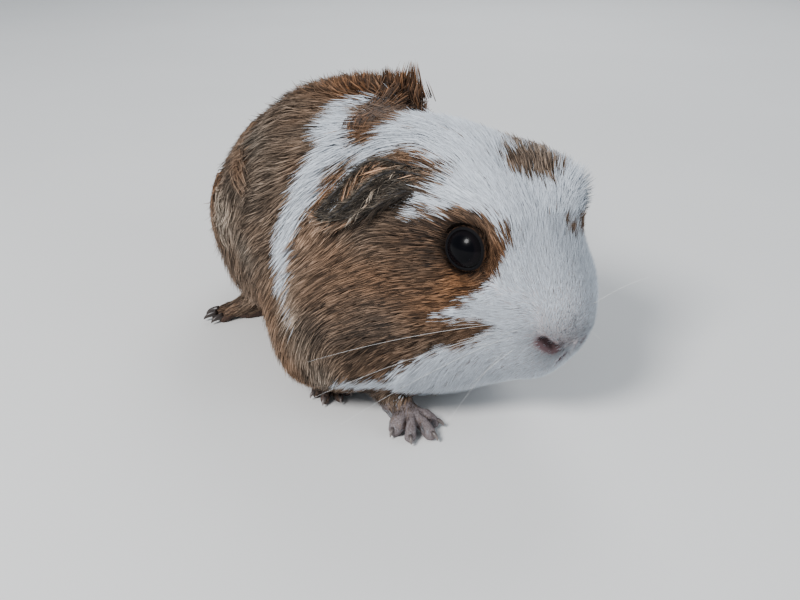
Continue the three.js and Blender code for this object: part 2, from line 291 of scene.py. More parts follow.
def browning(points):
    """How far inside a brown marking each point lies, in millimetres; below 0 it is white."""
    head = to_head(points)
    left = head[:, 1]
    x, y, z = points.T
    side_view = head[:, [0, 2]]
    cheeks = np.where(left < 0, depth_in_outline(side_view, RIGHT_CHEEK), depth_in_outline(side_view, LEFT_CHEEK))
    cheeks = np.minimum(cheeks, np.abs(left) - NEAR_MIDDLE)
    front = np.interp(z, FRONT_HEIGHTS, RIGHT_FRONT)
    front += (np.interp(z, FRONT_HEIGHTS, LEFT_FRONT) - front) * smooth_step(-6, 10, x)
    brown = np.max([cheeks, depth_inside(head, *LEFT_TEMPLE), np.minimum(y - front, 8)], axis=0)

    belly = 6 - z - 0.12 * np.abs(x)
    white = np.max([*(depth_in_band(points, b) for b in WHITE_BANDS), depth_inside(points, *THROAT), belly], axis=0)
    feet = 4 * smooth_step(0.3, 0.9, footness(points)) - 2
    dark = [depth_in_band(points, b) for b in DARK_BANDS] + [depth_inside(points, *wrist) for wrist in WRISTS]
    wander = 0.6 * ripples(points, 9, 1) + 0.4 * ripples(points, 4, 2)
    return np.maximum(np.minimum(brown, -white) + wander, np.max([*dark, feet], axis=0) + 0.4 * wander)


# Shades of the brown: place, radius, tint from grey 0 to gold 1, and lightness.
HEAD_SHADES = [  # in the head's frame, on both sides
    # The dark spots beside and under the ear are partly the dark skin between ear and eye and partly painted shade
    # under the ear; those low on the cheek are painted shade.
    (-12, -24, -3, 9, 0.6, 0.46), (-21, -25, 3, 7, 0.25, 0.25), (-27, -31, -5, 6, 0.25, 0.36),
    (-16, -28, -9, 6, 0.5, 0.7), (-3, -20, 8, 5, 0.6, 0.6), (-5, -30, -15, 10, 0.8, 0.95),
    (4, -21, -8, 6, 0.95, 1.1), (-5, -40, -28, 11, 0.4, 0.47), (4, -31, -25, 7, 0.4, 0.75),
    (-16, -47, -35, 8, 0.35, 0.6), (-22, -42, -20, 9, 0.6, 0.85), (7, -14, 2, 4, 0.9, 1.1),
    (0, -15, 9.5, 3.5, 0.7, 0.7), (12, -19, -16, 6, 0.45, 0.95), (-26, -18, 10.5, 6, 0.7, 1.25),
    (-35, -24, 5, 5, 0.5, 1), (-13, -10, 16, 8, 0.25, 1.15),
]
BODY_SHADES = [
    (-10.9, -35.6, 69, 2.2, 0.3, 1.9), (-14.4, -37, 65.2, 2.2, 0.3, 2), (-17.8, -37.6, 61, 2.2, 0.3, 2),
    (-12.6, -40, 63.8, 2.4, 0.95, 0.8), (-16.6, -40.8, 60, 2.2, 0.95, 0.8), (-16.7, -42.4, 54, 5, 0.5, 1.9),
    (-22.1, -39.5, 49.5, 5, 0.45, 2), (-26, -41, 42, 4, 0.5, 1.6), (-15, -40, 62, 4, 0.9, 0.9),
    (0, -24, 77, 7, 0.85, 0.8), (10, -7, 78, 6, 0.7, 0.85), (13, 8, 80, 8, 1, 0.8), (-1, 12, 80, 8, 0.95, 0.85),
    (-14, 17, 76, 8, 0.7, 0.95), (-24, 10, 70, 8, 0.25, 1), (-22, -8, 71, 7, 0.4, 0.62), (-34, 6, 62, 9, 0.1, 1.1),
    (-33, -15, 56, 9, 0.15, 0.95), (-39, 12, 60, 5, 0.55, 1), (-45, 1, 43, 7, 0, 2.9), (-40, -12, 38, 6, 0.05, 1.5),
    (-47, 12, 42, 4, 0.8, 1.3), (-34, -24, 40, 7, 0.3, 0.85), (-40, -6, 27, 8, 0.3, 0.95),
    (-22.5, -45, 44, 3.5, 0.5, 1.9), (-25, -45, 38, 3.5, 0.4, 2.2), (-27.5, -44, 33, 3.5, 0.15, 2.3),
    (-26.5, -50, 28, 4, 0, 2.9), (-24.5, -56, 22, 4.5, 0, 2.5), (-20, -59, 17, 4, 0.05, 1.9),
    (-31, -37, 29, 7, 0.6, 0.85), (-26, -50, 18, 7, 0.7, 1.1), (-36, -20, 12, 9, 0.75, 1.1),
]
# Folds of the flank: band, tint, lightness. The ridges are golden and lighter, partly their own gold and partly
# painted light; the creases are painted shade.
SHADE_LINES = [
    ([(-32, 20, 68, 1.5), (-37.5, 12, 62, 2), (-37.5, 0, 58, 2), (-36.5, -10, 54, 1)], 0.6, 1.3),
    ([(-40.5, 10, 58, 1), (-41, 0, 52, 1.6), (-38.5, -9, 50, 1.6), (-36, -17, 47.5, 1.4)], 0.2, 0.5),
    ([(-34, 6, 63, 0.8), (-34, -4, 59, 1.2), (-33.5, -12, 55, 0.6)], 0.2, 0.62),
    ([(-45.5, 16, 48, 1.2), (-47, 12, 40, 1.5), (-46.5, 8, 32, 1.2)], 0.85, 1.4),
    ([(-43, -4, 34, 0.8), (-39, -14, 33, 1.2), (-36, -22, 34, 0.8)], 0.3, 0.62),
]
PLAIN_SHADE = (0.22, 0.42)  # its weight and tint


def shades(points):
    """The tint and lightness of the brown at each point; the lightness also holds painted shade and painted light."""
    head = to_head(points)
    head[:, 1] = -np.abs(head[:, 1])
    marks = [(nearness(head, row[:3], row[3]), *row[4:]) for row in HEAD_SHADES]
    marks += [(nearness(points, row[:3], row[3]), *row[4:]) for row in BODY_SHADES]
    marks += [(2 * smooth_step(-1.6, 0.6, depth_in_band(points, band)), t, l) for band, t, l in SHADE_LINES]
    weight, tint = np.full(len(points), PLAIN_SHADE[0]), np.full(len(points), PLAIN_SHADE[0] * PLAIN_SHADE[1])
    dark, bright = np.ones((2, len(points)))
    for near, its_tint, its_light in marks:
        weight, tint = weight + near, tint + near * its_tint
        light = 1 + (its_light - 1) * np.minimum(near, 1)
        dark, bright = np.minimum(dark, light), np.maximum(bright, light)
    tint = tint / weight + 0.1 * ripples(points, 14, 8)
    return np.clip(tint, 0, 1), dark * bright * (1 + 0.1 * ripples(points, 7, 9))


# ---- skin: from the flesh nodes inwards
FLESH = ["rump", "trunk", "neck", "breast", "head"]
FLESH += [f"{part}_{side}" for part in ("hindleg", "foreleg") for side in ("left", "right")]
FEET = ["foot_fore_left", "foot_fore_right", "foot_hind_left", "foot_hind_right"]
JOIN = 0.34  # growth that closes the thin cuts between the nodes
VOXEL = 0.62
SOCKET_ROOM = 0.75  # between an eyeball and its socket, before the lids close on it
FOOT_HEIGHT = 6.0  # up to here a foot is bare
LID_OPENING = 47.0  # degrees from the middle of the gaze to the lid's edge
SMOOTHING, FOOT_SMOOTHING = 0.7, 0.12
SINKING_STEPS = 10
# Two rounds of finer faces: the nose in front of, nearer the middle than and below these, the lids up to so many
# degrees from their edge, and the toes from this crease on.
FINER = [(17, 9, -9, 24, 0.03), (23, 7, -11, 14, 1)]
TOE_CREASE_DEPTH = 2.3
# The line along which the coat stands up: over the back and down the right flank.
STANDING = [(20, 7, 84, 9), (11, 8, 82, 9), (-3, 13, 79, 8), (-14, 19, 74, 8), (-34, 24, 50, 7)]


def joined_flesh():
    """The flesh and the feet as one closed mesh."""
    shell = bmesh.new()
    for name in FLESH + FEET:
        shell.from_mesh(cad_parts[name].data)
    bmesh.ops.remove_doubles(shell, verts=shell.verts, dist=2e-6)
    bmesh.ops.recalc_face_normals(shell, faces=shell.faces)
    shell.normal_update()
    for v in shell.verts:
        v.co += v.normal * JOIN * MM
    for side in SIDES:
        place = Matrix.Translation(Vector(eye_at(side) * MM))
        bmesh.ops.create_icosphere(shell, subdivisions=3, radius=(EYE_RADIUS + SOCKET_ROOM) * MM, matrix=place)
    mesh = bpy.data.meshes.new("flesh")
    shell.to_mesh(mesh)
    shell.free()
    obj = add_object("flesh", mesh)
    remesh = obj.modifiers.new("one skin", "REMESH")
    remesh.mode = "VOXEL"
    remesh.voxel_size = VOXEL * MM
    bpy.context.view_layer.update()
    skin = bpy.data.meshes.new_from_object(obj.evaluated_get(bpy.context.evaluated_depsgraph_get()))
    bpy.data.objects.remove(obj)
    return skin


class Surface:
    """The points of a mesh in millimetres, and what moves them."""

    def __init__(self, mesh):
        self.mesh = mesh
        self.at = points_of(mesh)
        self.ends = read(mesh.edges, "vertices", 2, np.int32).T
        self.degree = np.bincount(self.ends.ravel(), minlength=len(self.at))[:, None]

    def store(self):
        self.mesh.vertices.foreach_set("co", (self.at * MM).astype(np.float32).ravel())
        self.mesh.update()

    def press(self, depth, steps=1):
        """Moves each point inwards by its depth, or by one of so many steps of it."""
        self.store()
        self.at -= normals_of(self.mesh) * depth[:, None] / steps

    def relax(self, weight, rounds):
        """Moves each point towards the mean of its neighbours."""
        (a, b), count = self.ends, len(self.at)
        for _ in range(rounds):
            sums = [np.bincount(a, axis[b], count) + np.bincount(b, axis[a], count) for axis in self.at.T]
            self.at += weight[:, None] * (np.stack(sums, axis=1) / self.degree - self.at)


def foot_share(points, name):
    """1 on one bare foot, falling to 0 a few millimetres above it."""
    low, high = box_mm(name)
    high = high * [1, 1, 0] + [0, 0, FOOT_HEIGHT]
    away = norm(np.maximum(0, np.maximum(low - points, points - high)))
    return 1 - smooth_step(0.2, 3.5, away)


def footness(points):
    return np.max([foot_share(points, name) for name in FEET], axis=0)


def claw_lines(foot):
    """The claw nodes of a foot, and where each claw leaves its toe and ends."""
    nodes = sorted(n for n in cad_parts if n.startswith(foot.replace("foot_", "claw_")))
    lines = []
    for node in nodes:
        points = points_of(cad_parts[node].data)
        away = norm((points - middle(foot))[:, :2])
        lines.append((points[away < away.min() + 0.6].mean(axis=0), points[np.argmax(away)]))
    return nodes, lines


def toe_creases(points):
    """1 between the toes, falling to 0 on them."""
    crease = np.zeros(len(points))
    for foot in FEET:
        near = np.flatnonzero(foot_share(points, foot) > 0.6)
        heel = middle(foot)[:2]
        knuckles = [(heel + (root[:2] - heel) * 0.1, root[:2]) for root, _ in claw_lines(foot)[1]]
        gaps, along = np.stack([gap_to_run(points[near][:, :2], *toe, 1.3) for toe in knuckles], axis=1)
        order = np.argsort(gaps, axis=0)
        closest, second = np.take_along_axis(gaps, order, 0)[:2]
        t = np.take_along_axis(along, order, 0)[0]
        begin = 0.42 if "hind" in foot else 0.1
        crease[near] = np.exp(-(((second - closest) / 1.1) ** 2)) * smooth_step(begin, begin + 0.45, t)
    return crease


def coat_depth(points):
    """How far below the tips of the coat the skin lies, in millimetres."""
    forward = to_head(points)[:, 0]
    depth = np.interp(forward, [-75, -50, -38, -25, -10, 2, 12, 20, 26], [6.5, 5.5, 4.6, 3.6, 2.6, 2, 1.5, 1.0, 0.6])
    low = points[:, 2] < 12
    depth = np.where(low, np.minimum(depth, 2.2 + 0.3 * np.maximum(points[:, 2], 0)), depth)
    return depth * (1 - footness(points))


def sunk_skin():
    """The skin below the coat; its value "rise" leads from each point to the tips of the coat."""
    surface = Surface(joined_flesh())
    feet = footness(surface.at)
    surface.relax(SMOOTHING * (1 - feet) + FOOT_SMOOTHING * feet, 26)
    tips = surface.at.copy()
    surface.relax(0.9 * (smooth_step(-6, 5, depth_in_band(surface.at, STANDING)) * (1 - feet)), 260)
    depth = coat_depth(surface.at)
    for _ in range(SINKING_STEPS):
        surface.press(depth, SINKING_STEPS)
        surface.relax(0.5 * (1 - feet), 5)
    surface.store()
    store_values(surface.mesh, "rise", tips - surface.at, "FLOAT_VECTOR", "vector")
    return surface.mesh


def refined(mesh, chosen):
    """Halves the faces whose points are all chosen."""
    form = bmesh.new()
    form.from_mesh(mesh)
    edges = [e for e in form.edges if chosen[e.verts[0].index] and chosen[e.verts[1].index]]
    bmesh.ops.subdivide_edges(form, edges=edges, cuts=1, use_grid_fill=True)
    bmesh.ops.triangulate(form, faces=[f for f in form.faces if len(f.verts) > 4])
    form.to_mesh(mesh)
    form.free()


def lid_gap(points, side):
    """How far points lie outwards from the lids' edge in degrees, their distance from the eye's middle, the
    way from it, and the way straight away from the gaze. The lids open a little farther at the front corner."""
    away, gaze = points - eye_at(side), gaze_of(side)
    distance = norm(away)
    angle = np.degrees(np.arccos(np.clip((away @ gaze) / distance, -1, 1)))
    across = unit(away - np.outer(away @ gaze, gaze))
    corner = turned_to_row(unit(mirrored(np.array([0.9, 0, -0.35]), side)))
    corner, upright = np.clip(across @ corner, 0, 1), np.abs(across @ turned_to_row([0, 0, 1]))
    return angle - (LID_OPENING + 5.5 * corner**8 - 1.5 * upright**3), distance, away, across


def shape_lids(surface):
    for side in SIDES:
        beyond, distance, away, _ = lid_gap(surface.at, side)
        rim = np.interp(beyond, [-9, -3, 0.5, 4, 8, 13, 19, 27], [5.3, 5.5, 6.5, 6.86, 6.95, 6.9, 7.0, 7.2])
        settle = smooth_step(11, 30, beyond)
        target = rim * (1 - settle) + distance * settle
        near = (distance < 14) & (beyond < 30)
        surface.at[near] += (unit(away) * (target - distance)[:, None])[near]


def groove(head, start, end, width):
    """1 along a line in the head's frame, falling to 0 over its width."""
    return np.exp(-((gap_to_run(head, start, end)[0] / width) ** 2))


NOSTRIL_OFFSET = -1.6  # the nose pulls a little to the right
LIP_MIDDLE = (27, NOSTRIL_OFFSET, -20.4)


def nose_lines(side):
    shift = np.array([0, NOSTRIL_OFFSET, 0])
    return mirrored((27.9, 4.5, -12.8), side) + shift, mirrored((26, 7.3, -10.8), side) + shift


def lip_groove(head, side, width):
    return groove(head, (26.5, NOSTRIL_OFFSET, -20.4), mirrored((20, 7.5, -23), side), width)


def shape_nose(surface):
    head = to_head(surface.at)
    press = np.zeros(len(head))
    for side in SIDES:
        inner, outer = nose_lines(side)
        press += 2.1 * groove(head, inner, outer, 0.85)
        press -= 0.45 * groove(head, inner + [0.2, 0, 1.6], outer + [0.2, side * 0.9, 1.5], 1.0)
        press -= 0.3 * groove(head, inner + [0, 0, -1.5], outer + [0, 0, -1.7], 0.8)
        press += 0.9 * lip_groove(head, side, 0.7)
    surface.press(press + 0.7 * groove(head, (29.6, NOSTRIL_OFFSET, -16), LIP_MIDDLE, 0.55))


# ---- ears: thin cupped shells
EAR_STEPS = (44, 30)
# The upper and the lower edge of the left ear, in the head's frame, from root to tip.
EAR_UPPER = np.array([(-17, 17.5, 11), (-24.5, 20.5, 10.5), (-32.5, 23.5, 7), (-36, 28, 0.5), (-37.5, 32.5, -6.5),
                      (-37.5, 35.2, -11.5)])
EAR_LOWER = np.array([(-14.5, 19.5, 7.5), (-19.5, 22.5, 5.5), (-24, 27, -0.5), (-28, 31, -6.5), (-32.5, 34, -10.8),
                      (-37.5, 35.2, -11.5)])
EAR_OUTWARD = unit(np.array([0.11, 0.82, 0.52]))
LEFT_EAR_LOWERED = np.array([-2.0, -1.0, -4.0])
EAR_LIFT, EAR_THICK = 1.3, 0.55
OUTER_EAR, INNER_EAR = 1.0, 0.6  # the skin's value "ear" on each face


def curve_at(stops, t):
    """Points of a smooth curve through stops, at values t from 0 to 1."""
    padded = np.vstack([2 * stops[0] - stops[1], stops, 2 * stops[-1] - stops[-2]])
    place = np.clip(t, 0, 1) * (len(stops) - 1)
    i = np.minimum(place.astype(int), len(stops) - 2)
    s = (place - i)[:, None]
    a, b, c, d = (padded[i + k] for k in range(4))
    return 0.5 * (2 * b + (c - a) * s + (2 * a - 5 * b + 4 * c - d) * s**2 + (3 * b - 3 * c + d - a) * s**3)


def ear_points(u, v, face, side):
    """u runs from root to tip, v from the lower edge to the upper one; face is 1 outside and -1 inside."""
    lower, upper = curve_at(EAR_LOWER, u), curve_at(EAR_UPPER, u)
    fold = np.interp(u, [0, 0.3, 0.8, 1], [0.85, 0.72, 0.12, 0.05])  # a ridge that crosses from upper to lower edge
    body = np.sin(np.pi * np.clip(u * 0.9 + 0.08, 0, 1))
    ridge = 1.6 * np.exp(-(((v - fold) / 0.07) ** 2))
    beyond, before = np.clip((v - fold) / (1 - fold), 0, 1), np.clip(v / fold, 0, 1)
    hollow = -2.8 * np.sin(np.pi * beyond) - 1.2 * np.sin(np.pi * before)
    roll = 1.2 * smooth_step(0.75, 1.0, v)
    lobe = 0.7 * smooth_step(0.55, 0.9, u) * (1 - beyond)
    buried = -5.0 * (1 - smooth_step(0.02, 0.34, u))
    lift = EAR_LIFT + (ridge + hollow + roll + 0.25 * np.sin(9 * u + 4 * v)) * body + lobe + buried
    wave = 0.35 * np.sin(14 * u + 1.0) * (2 * v - 1)
    point = lower + (upper - lower) * v[:, None] + unit(upper - lower + 1e-6) * wave[:, None]
    point = point + EAR_OUTWARD * (lift + face * EAR_THICK / 2)[:, None]
    if side > 0:
        point = point + LEFT_EAR_LOWERED
    return from_head(mirrored(point, side))


def ear_shell(side):
    """Points and faces of an ear: its outer sheet, its inner one, and the rim between them."""
    rows, columns = EAR_STEPS
    u, v = np.meshgrid(np.linspace(0, 0.975, rows + 1), np.linspace(0, 1, columns + 1), indexing="ij")
    points = np.vstack([ear_points(u.ravel(), v.ravel(), face, side) for face in (1, -1)])
    onward, back = columns + 1, u.size
    faces = []
    for a in (i * onward + j for i in range(rows) for j in range(columns)):
        b, c = a + 1, a + onward
        faces += [(a, b, c + 1, c), (back + a, back + c, back + c + 1, back + b)]
    for a in (i * onward + j for i in range(rows) for j in (0, columns)):
        faces.append((a, a + onward, back + a + onward, back + a))
    for a in (i * onward + j for j in range(columns) for i in (0, rows)):
        faces.append((a, back + a, back + a + 1, a + 1))
    return points, faces


def with_ears(mesh):
    form = bmesh.new()
    form.from_mesh(mesh)
    ear = form.verts.layers.float.new("ear")
    for side in SIDES:
        points, faces = ear_shell(side)
        added = [form.verts.new(p * MM) for p in points]
        for i, v in enumerate(added):
            v[ear] = OUTER_EAR if i < len(added) // 2 else INNER_EAR
        made = [form.faces.new([added[i] for i in face]) for face in faces]
        bmesh.ops.recalc_face_normals(form, faces=made)
    for face in form.faces:
        face.smooth = True
    form.to_mesh(mesh)
    form.free()


def unwrapped(obj):
    obj.data.uv_layers.new(name="OFBake")
    bpy.context.view_layer.objects.active = obj
    obj.select_set(True)
    bpy.ops.object.mode_set(mode="EDIT")
    bpy.ops.mesh.select_all(action="SELECT")
    bpy.ops.uv.smart_project(angle_limit=math.radians(62), island_margin=0.002)
    bpy.ops.object.mode_set(mode="OBJECT")
    obj.select_set(False)


def mark_skin(mesh):
    """Values that the skin's material reads."""
    points = points_of(mesh)
    head, feet = to_head(points), footness(points)
    lids, nose, nostril = np.zeros((3, len(points)))
    for side in SIDES:
        beyond, distance, *_ = lid_gap(points, side)
        lids = np.maximum(lids, (1 - smooth_step(5, 11, beyond)) * (distance < 8.6))
        inner, outer = nose_lines(side)
        nostril = np.maximum(nostril, groove(head, inner, outer, 1.2))
        around = groove(head, inner + [0.5, 0, -0.5], outer + [0, 0, -0.9], 2.9)
        nose = np.max([nose, around, lip_groove(head, side, 0.9)], axis=0)
    # The nose value is the nose's own mauve skin, and along the lip and philtrum grooves it is painted shade in them.
    nose = np.maximum(nose, groove(head, (29.6, NOSTRIL_OFFSET, -15), LIP_MIDDLE, 1.1))
    nose = np.minimum(1, 1.35 * nose)
    # The hind feet are dark by their own colour; the right fore foot's skin is painted darker as painted shade.
    hind, in_shade = smooth_step(-30, -24, points[:, 1]), 0.8 * smooth_step(-4, -8, points[:, 0])
    bare = np.max([lids, 0.93 * smooth_step(0.55, 0.95, nose), feet * (points[:, 2] < 2.2), feet * 0.6], axis=0)
    tint, light = shades(points)
    values = {
        "brown": smooth_step(-0.5, 0.5, browning(points)), "tint": tint, "light": light, "lid": lids, "nose": nose,
        # The nostrils and the creases between the toes are painted shade.
        "nostril": nostril, "foot": feet, "crease": smooth_step(0.25, 0.9, toe_creases(points)),
        "dark_foot": feet * np.maximum(hind, in_shade), "bare": np.where(values_of(mesh, "ear") > 0, 0.8, bare),
    }
    for name, value in values.items():
        store_values(mesh, name, value)


def build_skin(material):
    mesh = sunk_skin()
    for behind, aside, above, round_eye, creased in FINER:
        points = points_of(mesh)
        x, y, z = to_head(points).T
        chosen = (x > behind) & (np.abs(y) < aside) & (z < above) | (toe_creases(points) > creased)
        for side in SIDES:
            beyond, distance, *_ = lid_gap(points, side)
            chosen |= (distance < 10) & (beyond < round_eye) & (beyond > -12)
        refined(mesh, chosen)
    surface = Surface(mesh)
    shape_lids(surface)
    shape_nose(surface)
    surface.press(TOE_CREASE_DEPTH * toe_creases(surface.at))
    surface.at[:, 2] = np.maximum(surface.at[:, 2], 0)
    surface.store()
    with_ears(mesh)
    skin = add_object("skin", mesh)
    unwrapped(skin)
    mark_skin(mesh)
    mesh.materials.append(material)
    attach(skin, "root")
    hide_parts(*FLESH, *FEET, "ear_left", "ear_right")
    return mesh


# ---- lie of the coat
# Strokes of the hair, each a place and the way that the hair points there. Those of the head are in its
# own frame for the right side, and are mirrored for the left one.
HEAD_LIE = [
    (26, -5, -5, -0.5, 0, 0.84), (28, -5, -17, -0.5, -0.75, -0.35), (24, 0, 1, -0.75, 0, 0.65),
    (15, -6, 5, -0.84, 0, 0.54), (13, -16, 0, -0.86, -0.1, 0.5), (5, -15, 8, -0.87, -0.15, 0.47),
    (-5, -17, 10, -0.93, -0.32, -0.05), (1, -7, 14, -0.93, -0.05, 0.36), (-12, -8, 17, -0.98, -0.08, 0.15),
    (-25, -10, 16, -0.97, -0.2, -0.05), (-41, -10, 14, -0.76, -0.5, -0.4), (-46, -25, 2, -0.2, -0.78, -0.58),
    (-20, -21, 10, -0.88, -0.42, -0.18), (-27, -25, 6, -0.6, -0.55, -0.58), (-15, -24, 1, -0.9, -0.33, -0.27),
    (-10, -26, -5, -0.75, -0.45, -0.48), (2, -23, -9, -0.72, -0.49, -0.48), (12, -19, -6, -0.8, -0.5, -0.2),
    (19, -15, -6, -0.75, -0.55, -0.3), (22, -12, -17, -0.72, -0.4, -0.55), (20, -7, -30, -0.75, -0.22, -0.6),
    (-4, -31, -19, -0.55, -0.62, -0.55), (-15, -36, -21, -0.4, -0.6, -0.68), (7, -28, -24, -0.5, -0.7, -0.48),
    (-3, -36, -33, -0.45, -0.3, -0.84), (-26, -39, -22, -0.15, -0.6, -0.78), (8, -20, -33, -0.55, -0.2, -0.8),
]
FOREHEAD_FAN = [  # the left of the forehead fans up and out over the left ear
    (-6, 7, 17, -0.7, 0.6, 0.35), (4, 8, 13, -0.6, 0.55, 0.55), (-4, 16, 10, -0.45, 0.85, 0.1),
    (-16, 12, 16, -0.8, 0.55, 0.1),
]
BODY_LIE = [
    (-3.5, -34, 74, -0.4, -0.6, -0.55), (-7.7, -38, 69.6, -0.6, -0.3, -0.7), (-12, -39.5, 65, -0.63, -0.15, -0.76),
    (-16, -40, 60, -0.62, 0, -0.78), (-13, -30, 71, -0.7, -0.1, -0.6), (-18, -33, 66, -0.68, 0.05, -0.72),
    (-22, -36, 58, -0.55, 0.15, -0.82), (8.4, -39.4, 76.1, -0.93, 0.25, -0.23), (0, -37.5, 74, -0.88, -0.05, -0.46),
    (-6, -39, 70, -0.74, -0.28, -0.6), (-18, -38, 59, -0.62, 0.1, -0.76), (-25, -37, 47, -0.4, 0, -0.91),
    (-28, -43, 35, -0.1, -0.25, -0.94), (-23, -54, 23, -0.1, -0.15, -0.97), (5, -68, 16, -0.45, 0.3, -0.8),
    (-13, -40, 63, -0.64, 0, -0.77), (0, -18, 77, -0.75, -0.45, -0.3), (9, -34, 80, -0.75, 0.45, -0.2),
    (-10, -8, 76, -0.85, 0.35, -0.35), (-25, -18, 66, -0.6, 0.68, -0.35), (-31, -21, 55, -0.5, 0.62, -0.6),
    (-31, -25, 46, -0.42, 0.55, -0.72), (-36, -12, 27, -0.2, 0.4, -0.88), (-30, -34, 22, -0.15, 0.1, -0.97),
    (-28, 22, 68, -0.3, -0.75, 0.1), (-33, 8, 64, -0.3, -0.2, -0.8), (-36, 0, 55, -0.1, -0.55, -0.75),
    (-42, 6, 46, 0.2, -0.85, -0.35), (-44, 4, 31, 0.1, -0.55, -0.8), (-44, 20, 40, 0, -0.8, -0.45),
    (-3, 9, 80, -0.1, 0.9, 0.4), (12, 5, 79, 0.1, 0.9, 0.4), (2, -1, 80, -0.85, -0.3, -0.1),
    (-9, 2, 77, -0.9, -0.1, -0.2), (13, -4, 79, -0.8, -0.5, 0), (-2, 26, 78, 0, -0.85, 0.4),
    (16, 20, 76, 0.35, -0.6, 0.2), (-14, 46, 74, -0.5, -0.7, 0.1), (14, 48, 73, 0.6, -0.6, 0),
    (-30, 52, 62, -0.75, 0.2, -0.5), (30, 52, 60, 0.75, 0.2, -0.5), (-4, 62, 72, 0, 0.95, -0.2),
    (-4, 76, 55, 0, 0.6, -0.8), (-30, 70, 42, -0.3, 0.6, -0.75), (24, 70, 42, 0.3, 0.6, -0.75),
    (-44, 40, 30, -0.1, 0.5, -0.86), (38, 36, 30, 0.1, 0.6, -0.8), (-4, 81, 30, 0, 0.3, -0.95),
    (24, -8, 72, 0.6, 0.6, -0.3), (34, -12, 56, 0.3, 0.55, -0.75), (38, 12, 55, 0.15, 0.7, -0.7),
    (38, 16, 32, 0.1, 0.6, -0.8), (36, -30, 36, 0.3, 0.35, -0.88), (30, -55, 18, 0.3, 0.35, -0.85),
    (-4, 30, 3, 0, 0.95, 0), (0, -20, 3, 0, 0.95, 0),
]
SOFTENING = 9.0  # square millimetres added to the gap to a stroke, so that none rules alone
AT_ONCE = 20000  # points worked out together


def strokes():
    table = [
        (from_head(mirrored(row[:3], flip)), turned_to_row(mirrored(row[3:], flip)))
        for flip in (-1, 1)
        for row in HEAD_LIE
    ]
    table += [(from_head(row[:3]), turned_to_row(row[3:])) for row in FOREHEAD_FAN]
    table += [(row[:3], row[3:]) for row in BODY_LIE]
    places, ways = map(np.array, zip(*table))
    return places, unit(ways)


def flat_on(way, normals):
    """The part of a way that runs along the skin."""
    return way - (way * normals).sum(axis=1, keepdims=True) * normals


def lie_of_coat(points, normals):
    """The way that the hair points along the skin."""
    places, ways = strokes()
    way = np.empty_like(points)
    for some in np.array_split(np.arange(len(points)), max(1, len(points) // AT_ONCE)):
        gap = ((points[some][:, None, :] - places[None]) ** 2).sum(axis=2)
        weight = 1 / (gap + SOFTENING) ** 2
        way[some] = (weight / weight.sum(axis=1, keepdims=True)) @ ways
    way = unit(flat_on(way, normals))
    for side in SIDES:
        beyond, distance, _, across = lid_gap(points, side)
        outwards = unit(flat_on(across, normals))
        inward = np.minimum(0, (way * outwards).sum(axis=1)) - 0.25
        close = (1 - smooth_step(8, 42, beyond)) * (distance < 16)
        way = unit(way - outwards * (inward * close * 1.15)[:, None])
    return way


# ---- coat: tapered tufts
# By place along the head's forward axis: tufts per square millimetre, length and width.
GROWTH_STOPS = [-90, -70, -50, -38, -20, -5, 5, 10, 18, 26]
GROWTH = [
    [2.6, 3.1, 3.9, 4.9, 6.2, 7.4, 8.5, 12, 14, 16],
    [12.5, 12.5, 12, 11, 9.0, 7.0, 5.2, 4.0, 2.8, 1.5],
    [0.46, 0.42, 0.37, 0.32, 0.27, 0.23, 0.21, 0.19, 0.18, 0.17],
]
THINNING = 0.99  # of all tufts
EAR_TUFTS = (5.0, 2.4, 0.15)  # on the ears: tufts per square millimetre, length and width
STANDS_FROM = 9  # where the coat is deeper than this, its tufts are at least as long as it is deep
PARTING = [(-6, -5, 77, 7), (4, -7, 78.5, 7), (15, -5, 78, 7)]  # here the coat grows denser
ON_FOOT = 0.3  # from this share on a tuft belongs to a foot
HIND_FROM = -27  # farther back than this a foot is a hind one
FACE, CHEEKS, BODY, EARS = range(4)  # kinds of tufts
FINE_FROM, BODY_BEHIND = 7.0, -42  # borders of the kinds along the head's forward axis
REGIONS = {"face": 1, "nape_and_cheeks": 2, "body": 2, "ears": 2}  # by kind, with the rings below each tip
MOST_TRIANGLES = 190000  # in one piece
EAR_HAIR_WAY = unit(np.array([-22, 16.7, -20.5]))
WHORL = (-4, 44, 76)  # where the hair of the back parts
# Places where the coat stands farther out: place, radius and gain.
STANDING_OUT = [
    (-46, 12, 42, 9, 0.32), (-21, 15.5, 77, 7, 0.6), (-33, 13, 67, 6, 0.4), (51, -58, 64, 5, 1.7),
    (47, -56, 67, 4, 0.8),
]


def hair_growth(head):
    return [np.interp(head[:, 0], GROWTH_STOPS, row) for row in GROWTH]


